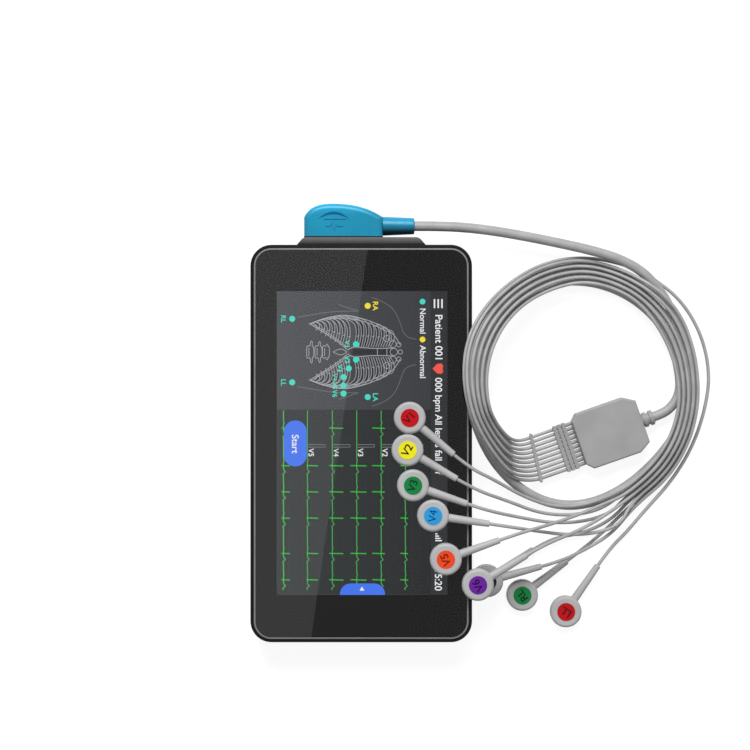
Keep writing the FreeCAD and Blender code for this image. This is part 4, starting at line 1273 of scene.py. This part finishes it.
@dataclass
class Figure:
    """The plain figure of shoulders, ribs and spine, and the places of the electrodes on it."""

    page: Page
    axis: float = 24.4
    fine_line: float = 0.26
    shade_width: float = 1.1
    shade_drop: float = 0.5
    rib_drop: float = 1.05
    rib_narrowing: float = 0.95
    knob_step: int = 30
    bone_bar: Flat = (1.6, 0.9)
    breastbone: Flat = (46.2, 29.6)
    breastbone_width: float = 2.2
    dot: float = 1.2
    code_size: float = 2.7
    arm_code_size: float = 2.9
    code_weight: float = 0.02
    code_drop: float = 3.6
    arm_code_rise: float = 3.0
    rib_bends: ClassVar[tuple[Flat, ...]] = ((0.36, 1.0), (0.82, 0.6))
    rib_rows: ClassVar[tuple[RibRow, ...]] = (
        RibRow(8, (2.1, 45.6), (0.0, -1.95), 43.0, -2.75, 1.9, -0.1),
        RibRow(7, (1.884, 28.216), (1.204, -1.904), 22.6, -1.45, 1.5, -0.16),
    )
    half_cage: ClassVar[tuple[Flat, ...]] = (
        (13.3, 11.4), (18.0, 13.3), (24.0, 14.6), (28.0, 14.8), (32.0, 14.1), (38.0, 12.3),
        (44.0, 9.4), (48.0, 6.0), (49.4, 3.0),
    )
    shoulder: ClassVar[list[Flat]] = [
        (21.8, 38.2), (20.2, 43.2), (16.6, 47.4), (12.0, 49.4), (7.6, 50.8), (5.5, 53.0), (5.1, 56.0),
    ]
    flank: ClassVar[list[Flat]] = [(13.9, 8.4), (15.2, 15.5), (16.4, 24.0), (16.4, 32.9)]
    arm: ClassVar[list[Flat]] = [(19.0, 24.9), (17.6, 29.0), (16.4, 32.9)]
    arch: ClassVar[list[Flat]] = [(1.0, 28.2), (3.4, 25.6), (7.4, 19.6), (10.4, 14.6), (11.4, 13.3)]
    inner_arch: ClassVar[list[Flat]] = [(1.9, 28.0), (4.2, 25.6), (8.1, 19.8), (10.8, 15.0)]
    bone_side: ClassVar[list[Flat]] = [(1.6, 46.6), (1.3, 40.0), (1.8, 34.0), (2.2, 30.4), (0.8, 28.4)]
    bone_tip: ClassVar[list[Flat]] = [(0.0, 28.2), (1.3, 26.4), (1.0, 24.4), (0.0, 22.6)]
    bone_bars: ClassVar[tuple[Flat, ...]] = ((40.4, 1.5), (44.2, 1.6))
    knobs: ClassVar[tuple[Point, ...]] = (
        (0.0, 47.0, 1.5), (3.1, 46.6, 1.4), (5.4, 44.2, 1.3), (2.9, 49.0, 0.9), (0.0, 49.6, 0.9),
    )
    vertebrae: ClassVar[tuple[Flat, ...]] = ((12.0, 4.5), (15.3, 4.3), (18.3, 3.2))
    places: ClassVar[dict[str, Flat]] = {
        "RL": (11.1, 6.2), "LL": (36.6, 6.2), "V1": (21.3, 31.8), "V2": (27.5, 31.8),
        "V3": (31.0, 28.9), "V4": (34.5, 26.8), "V5": (37.9, 26.8), "V6": (41.1, 26.8),
    }
    arm_places: ClassVar[dict[str, tuple[str, float, float]]] = {
        "RA": ("yellow", 5.9, 36.5), "LA": ("teal", 42.5, 36.5),
    }

    def mirrored(self, ink: str, points: Sequence[Flat], width: float = 0.0) -> None:
        """Draw a line on both sides of the chest's middle line.

        Args:
            ink: The colour's name.
            points: The line's points, as distances from the middle line and up the page.
            width: The line's width, or 0 for the page's usual one.
        """
        for side in (-1, 1):
            self.page.stroke(ink, [(self.axis + side * out, up) for out, up in points], width)

    def half_width(self, up: float) -> float:
        """How far the rib cage's outline is from its middle line at one height up the page."""
        for (low, near), (high, far) in zip(self.half_cage, self.half_cage[1:]):
            if up <= high:
                return near + (far - near) * (up - low) / (high - low)
        return self.half_cage[-1][1]

    def rib(self, start: Flat, end: float, bulge: float) -> None:
        """Draw one pair of ribs as two fine lines each with a dark band between.

        Args:
            start: Where they leave the breastbone, as a distance from it and up the page.
            end: How far up the page they meet the outline.
            bulge: How far they rise over their start.
        """
        reach = self.half_width(end)
        out, up = start
        bends = [(out + way * (reach - out), up + rise * bulge) for way, rise in self.rib_bends]
        edge = (0.5 * (reach + self.half_width(up)), 0.5 * (end + up))
        curve = [start, *bends, edge, (reach, end)]
        band = [(out, up - self.shade_drop) for out, up in curve]
        under = [(self.rib_narrowing * out, up - self.rib_drop) for out, up in curve]
        self.mirrored("shade", band, self.shade_width)
        for line in (curve, under, [curve[1], under[1]]):
            self.mirrored("bone", line, self.fine_line)

    def ribs(self) -> None:
        """Draw the ribs, the high ones from the breastbone and the low ones from the arch under it."""
        for row in self.rib_rows:
            for number in range(row.count):
                self.rib(*row.at(number))

    def cage(self) -> None:
        """Draw the rib cage's outline, its breastbone, its lower edge and the joints at its top."""
        outline = [(out, up) for up, out in self.half_cage]
        for points, width in (
            (outline, self.page.line), (self.arch, self.page.line), (self.inner_arch, self.fine_line),
            (self.bone_side, self.page.line), (self.bone_tip, self.fine_line),
        ):
            self.mirrored("bone", points, width)
        self.page.stroke("shade", [(self.axis, up) for up in self.breastbone], self.breastbone_width)
        for up, reach in self.bone_bars:
            self.page.stroke("bone", [(self.axis - reach, up), (self.axis + reach, up)], self.fine_line)
        turns = [math.radians(step) for step in range(0, 361, self.knob_step)]
        for out, up, radius in self.knobs:
            ring = [(out + radius * math.cos(turn), up + radius * math.sin(turn)) for turn in turns]
            self.mirrored("bone", ring, self.fine_line)

    def spine(self) -> None:
        """Draw the three lowest bones of the spine."""
        for low, wing in self.vertebrae:
            outline = [
                (0.0, low), (2.2, low), (2.6, low + 0.5), (2.1, low + 1.3), (wing, low + 1.7),
                (wing - 0.2, low + 2.3), (2.0, low + 2.2), (2.3, low + 2.8), (0.0, low + 2.9),
            ]
            self.mirrored("bone", outline, self.fine_line)
            reach, rise = self.bone_bar
            bar = [(self.axis + side, low + rise) for side in (-reach, reach)]
            self.page.stroke("bone", bar, self.fine_line)

    def electrodes(self) -> None:
        """Mark where each electrode goes on the figure."""
        for code, (along, up) in self.places.items():
            self.page.dot("teal", along, up, self.dot)
            self.page.words("teal", code, along, up - self.code_drop, self.code_size, self.code_weight)
        for code, (ink, along, up) in self.arm_places.items():
            self.page.dot(ink, along, up, self.dot)
            self.page.words(ink, code, along, up + self.arm_code_rise, self.arm_code_size, self.code_weight)

    def draw(self) -> None:
        """Draw the whole figure."""
        for side in (self.shoulder, self.flank, self.arm):
            self.mirrored("skin", side)
        self.ribs()
        self.cage()
        self.spine()
        self.electrodes()


@dataclass
class Chart:
    """The six traces over their faint grid."""

    page: Page
    start: float = 47.6
    inset: float = 0.3
    line: float = 0.3
    thick_line: float = 0.42
    spike_width: float = 0.34
    spike_lean: float = 0.15
    margin: float = 0.6
    grid_line: float = 0.12
    columns: int = 24
    column_place: Flat = (1.5, 3.0)
    column_top: float = 60.9
    rows: int = 20
    row_place: Flat = (1.5, 3.1)
    beats: tuple[float, ...] = (70.0, 80.5, 91.0, 105.2, 115.8)
    early_beat: float = 54.9
    pulse_sides: Flat = (61.6, 62.6)
    pulse_levels: Flat = (0.4, 7.1)
    pulse_line: float = 0.18
    code_place: Flat = (64.8, 1.4)
    code_size: float = 3.0
    waves: ClassVar[tuple[Flat, ...]] = (
        (-2.5, 0.0), (-2.0, 0.35), (-1.5, 0.0), (1.3, 0.0), (1.9, 0.25), (2.5, 0.85), (3.1, 0.1),
        (3.6, -0.3), (4.1, 0.0),
    )
    early: ClassVar[tuple[str, ...]] = ("V2", "V4", "V6")
    thick: ClassVar[str] = "V6"
    traces: ClassVar[tuple[tuple[str, float, float, float], ...]] = (
        ("V6", 2.7, 2.6, 0.8), ("V5", 12.3, 4.3, 0.3), ("V4", 22.3, 4.4, 1.2),
        ("V3", 32.1, 3.9, 2.5), ("V2", 41.9, 1.5, 3.6), ("V1", 51.6, 1.1, 2.0),
    )

    def grid(self) -> None:
        """Draw the grid's lines."""
        first, step = self.column_place
        for number in range(self.columns):
            along = self.start + step * number + first
            self.page.stroke("grid", [(along, self.margin), (along, self.column_top)], self.grid_line)
        first, step = self.row_place
        for number in range(self.rows):
            up = first + step * number
            ends = (self.start + self.margin, self.page.long - self.margin)
            self.page.stroke("grid", [(along, up) for along in ends], self.grid_line)

    def trace(self, code: str, base: float, tall: float, deep: float) -> None:
        """Draw one lead's trace, its pulse and its name.

        Args:
            code: The lead's name.
            base: The trace's rest level up the page.
            tall: How far its spikes rise.
            deep: How far they dip.
        """
        beats = self.beats
        if code in self.early:
            beats = (self.early_beat, *beats)
        points = [(self.start + self.inset, base)]
        for along in beats:
            points += [(along + step, base + level) for step, level in self.waves]
            spike = [(along, base - deep), (along + self.spike_lean, base + tall)]
            self.page.stroke("spike", spike, self.spike_width)
        self.page.stroke("green", points, self.thick_line if code == self.thick else self.line)
        left, right = self.pulse_sides
        low, high = (base + level for level in self.pulse_levels)
        self.page.stroke("grey", [(left, low), (left, high), (right, high), (right, low)], self.pulse_line)
        along, rise = self.code_place
        self.page.words("white", code, along, base + rise, self.code_size)

    def draw(self) -> None:
        """Draw the grid and the traces on it."""
        self.grid()
        for trace in self.traces:
            self.trace(*trace)


@dataclass
class PageButtons:
    """The start button and the tab at the page's end, which has a width, a length and a corner's radius."""

    page: Page
    layer: float = 0.36
    start_along: Flat = (51.9, 70.3)
    start_up: Flat = (2.9, 12.0)
    start_corner: float = 4.4
    start_word: tuple[float, float, float] = (61.3, 7.3, 3.9)
    word_layer: float = 0.4
    tab_up: float = 34.4
    tab: tuple[float, float, float] = (9.2, 18.1, 4.3)
    arrow: float = 1.1
    arrow_place: Flat = (119.6, 34.2)

    def draw(self) -> None:
        """Draw the button and the tab."""
        self.page.panel("blue", self.start_along, self.start_up, self.layer, self.start_corner)
        self.page.words("white", "Start", *self.start_word, layer=self.word_layer)
        tab = rounded_card(*(size / MM_PER_M for size in self.tab))
        bmesh.ops.bisect_plane(
            tab, geom=tab.verts[:] + tab.edges[:] + tab.faces[:], plane_co=(0, 0, 0), plane_no=(1, 0, 0),
            clear_outer=True,
        )
        self.page.fill("blue", tab, self.page.long, self.tab_up, self.layer)
        arrow = bmesh.new()
        bmesh.ops.create_circle(arrow, cap_ends=True, segments=3, radius=self.arrow / MM_PER_M)
        turn = Matrix.Rotation(math.pi / 2, 3, "Z")
        bmesh.ops.rotate(arrow, cent=(0, 0, 0), matrix=turn, verts=arrow.verts)
        self.page.fill("white", arrow, *self.arrow_place, self.word_layer)


@dataclass
class Screen:
    """The whole lit page: its grounds, bar, legend, figure, chart and buttons."""

    page: Page = field(default_factory=Page)
    bar_height: float = 6.7
    edge: float = 0.4
    page_layer: float = 0.02
    ground_layer: float = 0.04
    legend_up: float = 58.5
    legend_dot: float = 1.15
    legend_size: float = 3.3
    legend: ClassVar[tuple[tuple[str, float, str, float], ...]] = (
        ("teal", 4.2, "Normal", 12.0), ("yellow", 19.4, "Abnormal", 28.4),
    )

    def grounds(self) -> None:
        """Fill the page, the figure's panel and the chart's ground."""
        page, start = self.page, Chart.start
        bar = page.wide - self.bar_height
        page.panel("page", (0.0, page.long), (0.0, page.wide), self.page_layer)
        page.panel("panel", (0.0, start), (0.0, bar), self.ground_layer)
        page.panel("chart", (start, page.long - self.edge), (self.edge, bar), self.ground_layer)

    def key(self) -> None:
        """Draw the legend of the dots' colours."""
        for ink, dot, text, along in self.legend:
            self.page.dot(ink, dot, self.legend_up, self.legend_dot)
            self.page.words("white", text, along, self.legend_up, self.legend_size)

    def build(self) -> None:
        """Draw the whole page."""
        self.grounds()
        StatusBar(self.page).draw()
        self.key()
        for part in (Figure(self.page), Chart(self.page), PageButtons(self.page)):
            part.draw()
        self.page.draw()


@dataclass
class GlassTrim:
    """The black print under the glass and the grey line of painted highlight round its edge."""

    middle: Flat = (0.0, -0.0016)
    width: float = 0.0862
    length: float = 0.1568
    corner: float = 0.0071
    window: Flat = (Page.width, Page.length)
    window_middle: Flat = Page.middle
    underside: float = 0.01796
    top: float = 0.01903
    # The painted highlight line: its margin in from the glass's outline, its widths over the rounded edge and
    # the top, and how far its outside drops.
    highlight_margin: float = 0.00003
    highlight_shoulder: float = 0.00032
    highlight_top: float = 0.00033
    highlight_drop: float = 0.00013

    def border(self, ink: Material) -> None:
        """Print the black border round the page on the glass's underside.

        Args:
            ink: The border's finish.
        """
        mesh = rounded_card(self.width, self.length, self.corner)
        bmesh.ops.translate(mesh, vec=(*self.middle, self.underside), verts=mesh.verts)
        outer = list(mesh.edges)
        bmesh.ops.delete(mesh, geom=list(mesh.faces), context="FACES_ONLY")
        hole = bmesh.ops.create_grid(mesh, x_segments=1, y_segments=1, size=0.5)["verts"]
        bmesh.ops.scale(mesh, vec=(*self.window, 1.0), verts=hole)
        bmesh.ops.translate(mesh, vec=(*self.window_middle, self.underside), verts=hole)
        inner = list(hole[0].link_faces[0].edges)
        bmesh.ops.delete(mesh, geom=list(mesh.faces), context="FACES_ONLY")
        bmesh.ops.triangle_fill(mesh, use_beauty=True, edges=outer + inner, normal=UP)
        own(shaped("glass_border", mesh, ink), Body.MONITOR)

    def edge_highlight(self, highlight_finish: Material) -> None:
        """Lay a grey line of painted highlight over the glass's rounded edge and a little of its top.

        Args:
            highlight_finish: The painted highlight's finish.
        """
        margin = self.highlight_margin
        mesh = rounded_card(self.width - 2 * margin, self.length - 2 * margin, self.corner - margin)
        middle = set(mesh.faces)
        for width in (self.highlight_shoulder, self.highlight_top):
            rim = bmesh.ops.inset_region(
                mesh, faces=list(middle), thickness=width, use_boundary=True, use_even_offset=True,
            )["faces"]
            middle = {face for face in mesh.faces if face not in rim and len(face.verts) > 4}
        outside = [vert for vert in mesh.verts if vert.is_boundary]
        bmesh.ops.translate(mesh, vec=(0.0, 0.0, -self.highlight_drop), verts=outside)
        bmesh.ops.delete(mesh, geom=list(middle), context="FACES_ONLY")
        bmesh.ops.translate(mesh, vec=(*self.middle, self.top), verts=mesh.verts)
        own(shaped("glass_line", mesh, highlight_finish, smooth=True), Body.MONITOR)

    def build(self) -> None:
        """Print the border and lay the painted highlight round the glass's edge."""
        self.border(PrintedInk("border_black", (6, 6, 7), specular=0.0).material())
        # A grey painted highlight on the glass's rounded edge.
        highlight_finish = MouldedPlastic("edge_satin", (128, 128, 129), roughness=0.5, specular=0.1)
        self.edge_highlight(highlight_finish.material())


@dataclass
class Case:
    """The monitor's mouldings, metalwork and inner parts."""

    black: Colour = (36, 36, 37)
    rim: Colour = (20, 20, 21)
    boss: Colour = (97, 95, 93)
    # The boss is painted darker along Y away from the plug, as painted shade, down to this share over this
    # reach.
    boss_shade_share: float = 0.05
    boss_shade_reach: Flat = (0.0803, 0.0784)
    button: Colour = (30, 30, 31)
    label: Colour = (24, 116, 190)
    camera: Colour = (12, 12, 13)

    def dress_outside(self) -> None:
        """Give the mouldings and what is set into them their finish."""
        shell = MouldedPlastic("case_plastic", self.black, roughness=0.5, specular=0.14)
        dress(shell, "rear_cover", "top_cap", "battery_hatch", "port_flap")
        dress(MouldedPlastic("rim_plastic", self.rim, roughness=0.5, specular=0.08), "front_frame")
        # The boss's tone carries painted shade along Y.
        boss = MouldedPlastic(
            "boss_plastic", self.boss, roughness=0.5, specular=0.15, painted_shade_share=self.boss_shade_share,
            reach=self.boss_shade_reach,
        )
        dress(boss, "socket_boss")
        button = MouldedPlastic("button_plastic", self.button, roughness=0.4, specular=0.2)
        dress(button, "power_button", "record_button")
        dress(ClearGlass("cover_glass"), "cover_glass")
        dress(Metal("screw_steel", (60, 60, 62), 0.35), "case_screws", "flap_hinge_pin")
        dress(MouldedPlastic("label_blue", self.label, roughness=0.35), "round_label")
        dress(MouldedPlastic("camera_trim", (34, 34, 36), roughness=0.3), "camera_ring")
        camera = MouldedPlastic("camera_black", self.camera, roughness=0.15, specular=0.5)
        dress(camera, "camera_module")

    def dress_inside(self) -> None:
        """Give the inner parts their finish."""
        dress(PrintedInk("display_back", (14, 14, 16)), "display_panel")
        dress(Metal("bracket_steel", (150, 152, 155), 0.4), "display_bracket")
        dress(PrintedInk("battery_wrap", (52, 54, 60)), "battery_pack")
        dress(CircuitBoard("circuit_board"), "main_board")
        dress(PrintedInk("speaker_body", (28, 28, 30)), "speaker")
        dress(MouldedPlastic("socket_plastic", (28, 28, 30)), "ecg_socket")
        dress(Metal("port_metal", (170, 172, 176), 0.3), "usb_port")
        dress(Metal("switch_metal", (160, 160, 164), 0.35), "side_switches")

    def build(self) -> None:
        """Dress the whole monitor."""
        self.dress_outside()
        self.dress_inside()


@dataclass
class Plug:
    """The blue plug with its engraved grip mark, its boot and its tongue, painted lighter and darker along Y
    as painted highlight and shade, and a thin dark strip of painted shadow where it meets the collar.
    """

    blue: Colour = (13, 163, 204)
    # The housing is painted brighter along its top edge, a painted highlight, and darker below it as painted
    # shade, down to this share.
    housing_shade_share: float = 0.72
    housing_shade_reach: Flat = (0.0935, 0.0905)
    boot: Colour = (14, 150, 190)
    # The boot is painted darker from its top to its underside, as painted shade, down to this share.
    boot_shade_share: float = 0.1
    boot_shade_reach: Flat = (0.0878, 0.0836)
    shadow: Colour = (16, 96, 150)
    seal_black: Colour = (16, 22, 25)
    # A thin dark strip of painted shadow in the seam between the plug's face and the collar.
    seam_shadow_place: Point = (-0.0072, 0.08145, 0.0095)
    seam_shadow_size: Flat = (0.03186, 0.01006)
    seam_shadow_corner: float = 0.00223
    seam_shadow_depth: float = 0.00045
    top: float = 0.01452
    groove_width: float = 0.0012
    fine_width: float = 0.00036
    groove: ClassVar[tuple[Flat, ...]] = (
        (-0.0173, 0.0889), (-0.0146, 0.0907), (-0.0111, 0.0915), (-0.0076, 0.0907), (-0.0050, 0.0889),
    )
    rule: ClassVar[tuple[Flat, ...]] = ((-0.0150, 0.0886), (-0.0061, 0.0886))
    pulse: ClassVar[tuple[Flat, ...]] = (
        (-0.0143, 0.0857), (-0.0125, 0.0857), (-0.0119, 0.0873), (-0.0110, 0.0838), (-0.0102, 0.0864),
        (-0.0096, 0.0857), (-0.0072, 0.0857),
    )

    def dress(self) -> None:
        """Give the plug's nodes their finish, with painted highlight and shade along Y on the housing and the
        boot.
        """
        skins = {
            "plug_housing": (self.blue, self.housing_shade_share, self.housing_shade_reach),
            "plug_boot": (self.boot, self.boot_shade_share, self.boot_shade_reach),
        }
        for node, (colour, painted_shade_share, reach) in skins.items():
            skin = MouldedPlastic(
                f"{node}_blue", colour, roughness=0.3, specular=0.32, grain=2200.0, relief=0.000008,
                painted_shade_share=painted_shade_share, reach=reach,
            )
            dress(skin, node)
        dress(MouldedPlastic("insert_plastic", (40, 40, 42)), "plug_insert")

    def engrave(self) -> None:
        """Mark the grip with a crescent, a rule and a plain pulse line."""
        ink = PrintedInk("plug_shadow", self.shadow).material()
        place = Matrix.Translation((0.0, 0.0, self.top))
        marks = [
            ribbons("plug_crescent", [self.groove], self.groove_width, ink, place, smooth=True, tapered=True),
            ribbons("plug_lines", [self.rule, self.pulse], self.fine_width, ink, place),
        ]
        for mark in marks:
            own(mark, Body.LEADS)

    def seam_shadow(self) -> None:
        """Lay a thin dark strip of painted shadow on the plug's face, where it meets the collar."""
        mesh = rounded_card(*self.seam_shadow_size, self.seam_shadow_corner)
        grown = bmesh.ops.extrude_face_region(mesh, geom=list(mesh.faces))["geom"]
        back = [part for part in grown if isinstance(part, BMVert)]
        bmesh.ops.translate(mesh, vec=(0.0, 0.0, self.seam_shadow_depth), verts=back)
        turn = Matrix.Rotation(-math.pi / 2, 4, "X")
        bmesh.ops.transform(mesh, matrix=Matrix.Translation(self.seam_shadow_place) @ turn, verts=mesh.verts)
        bmesh.ops.recalc_face_normals(mesh, faces=mesh.faces)
        shadow_ink = PrintedInk("seal_black", self.seal_black).material()
        own(shaped("plug_seal", mesh, shadow_ink), Body.LEADS)

    def build(self) -> None:
        """Dress and engrave the plug, and lay the painted shadow at its seam."""
        self.dress()
        self.engrave()
        self.seam_shadow()


@dataclass
class Snaps:
    """The ten snap clips with their coloured, lettered caps."""

    grip: Colour = (181, 181, 182)
    height: float = 0.005
    cap_rise: float = 0.00015
    ink_rise: float = 0.00004
    letter: float = 0.0044
    weight: float = 0.016
    caps: ClassVar[dict[str, Colour]] = {
        "caps_red": (186, 8, 18), "cap_yellow": (240, 230, 28), "caps_green": (14, 124, 60),
        "cap_blue": (44, 152, 214), "cap_orange": (234, 72, 28), "cap_purple": (104, 30, 150),
        "cap_white": (236, 236, 234), "cap_black": (24, 24, 25),
    }
    tints: ClassVar[dict[str, Colour]] = {
        "red": (96, 6, 10), "yellow": (26, 24, 14), "green": (2, 46, 26), "blue": (10, 50, 112),
        "orange": (124, 26, 8), "purple": (40, 8, 66), "white": (40, 40, 42), "black": (225, 225, 222),
    }
    cap_of: ClassVar[dict[str, str]] = {
        "v1": "red", "v2": "yellow", "v3": "green", "v4": "blue", "v5": "orange",
        "v6": "purple", "rl": "green", "ll": "red", "ra": "white", "la": "black",
    }

    def dress(self) -> None:
        """Give the clips, their rings and their caps a finish."""
        grip = MouldedPlastic("snap_grey", self.grip, roughness=0.4, specular=0.25, grain=1800.0)
        dress(grip, *(f"snap_{lead.name}" for lead in LEADS))
        dress(Metal("stud_metal", (190, 188, 182), 0.25), "stud_sockets")
        for node, colour in self.caps.items():
            dress(MouldedPlastic(node, colour, roughness=0.35, specular=0.2, relief=0.000006), node)

    def letters(self) -> None:
        """Print each lead's code on its cap, in a dark tint of the cap's colour, light on the black one."""
        inks = {name: PrintedInk(f"code_{name}", tint).material() for name, tint in self.tints.items()}
        for lead in LEADS:
            top = lead.seat.value + self.height + self.cap_rise + self.ink_rise
            turn = Matrix.Rotation(math.radians(lead.turn + 90.0), 4, "Z")
            place = Matrix.Translation((*lead.snap, top)) @ turn
            cap = self.cap_of[lead.name]
            code = lettering(
                f"code_{lead.name}", lead.name.upper(), self.letter, inks[cap], place, self.weight,
            )
            own(code, Body.LEADS)

    def build(self) -> None:
        """Dress the clips and print their codes."""
        self.dress()
        self.letters()


def main() -> None:
    """Build the studio and every sub-assembly in turn."""
    logging.basicConfig(level=logging.INFO)
    Camera().build()
    log.info("camera set")
    yoke = Yoke()
    trunk = Trunk(yoke)
    trunk.build(CableJacket("cable_grey", (166, 166, 166)).material())
    log.info("trunk laid")
    LeadBundle(yoke, trunk).build(CableJacket("lead_grey", (170, 170, 170)).material())
    log.info("leads laid")
    for part in (Studio, Case, Screen, GlassTrim, Plug, Snaps):
        part().build()
        log.info("%s built", part.__name__)
    yoke.dress()
    log.info("yoke dressed")


if __name__ == "__main__":
    main()
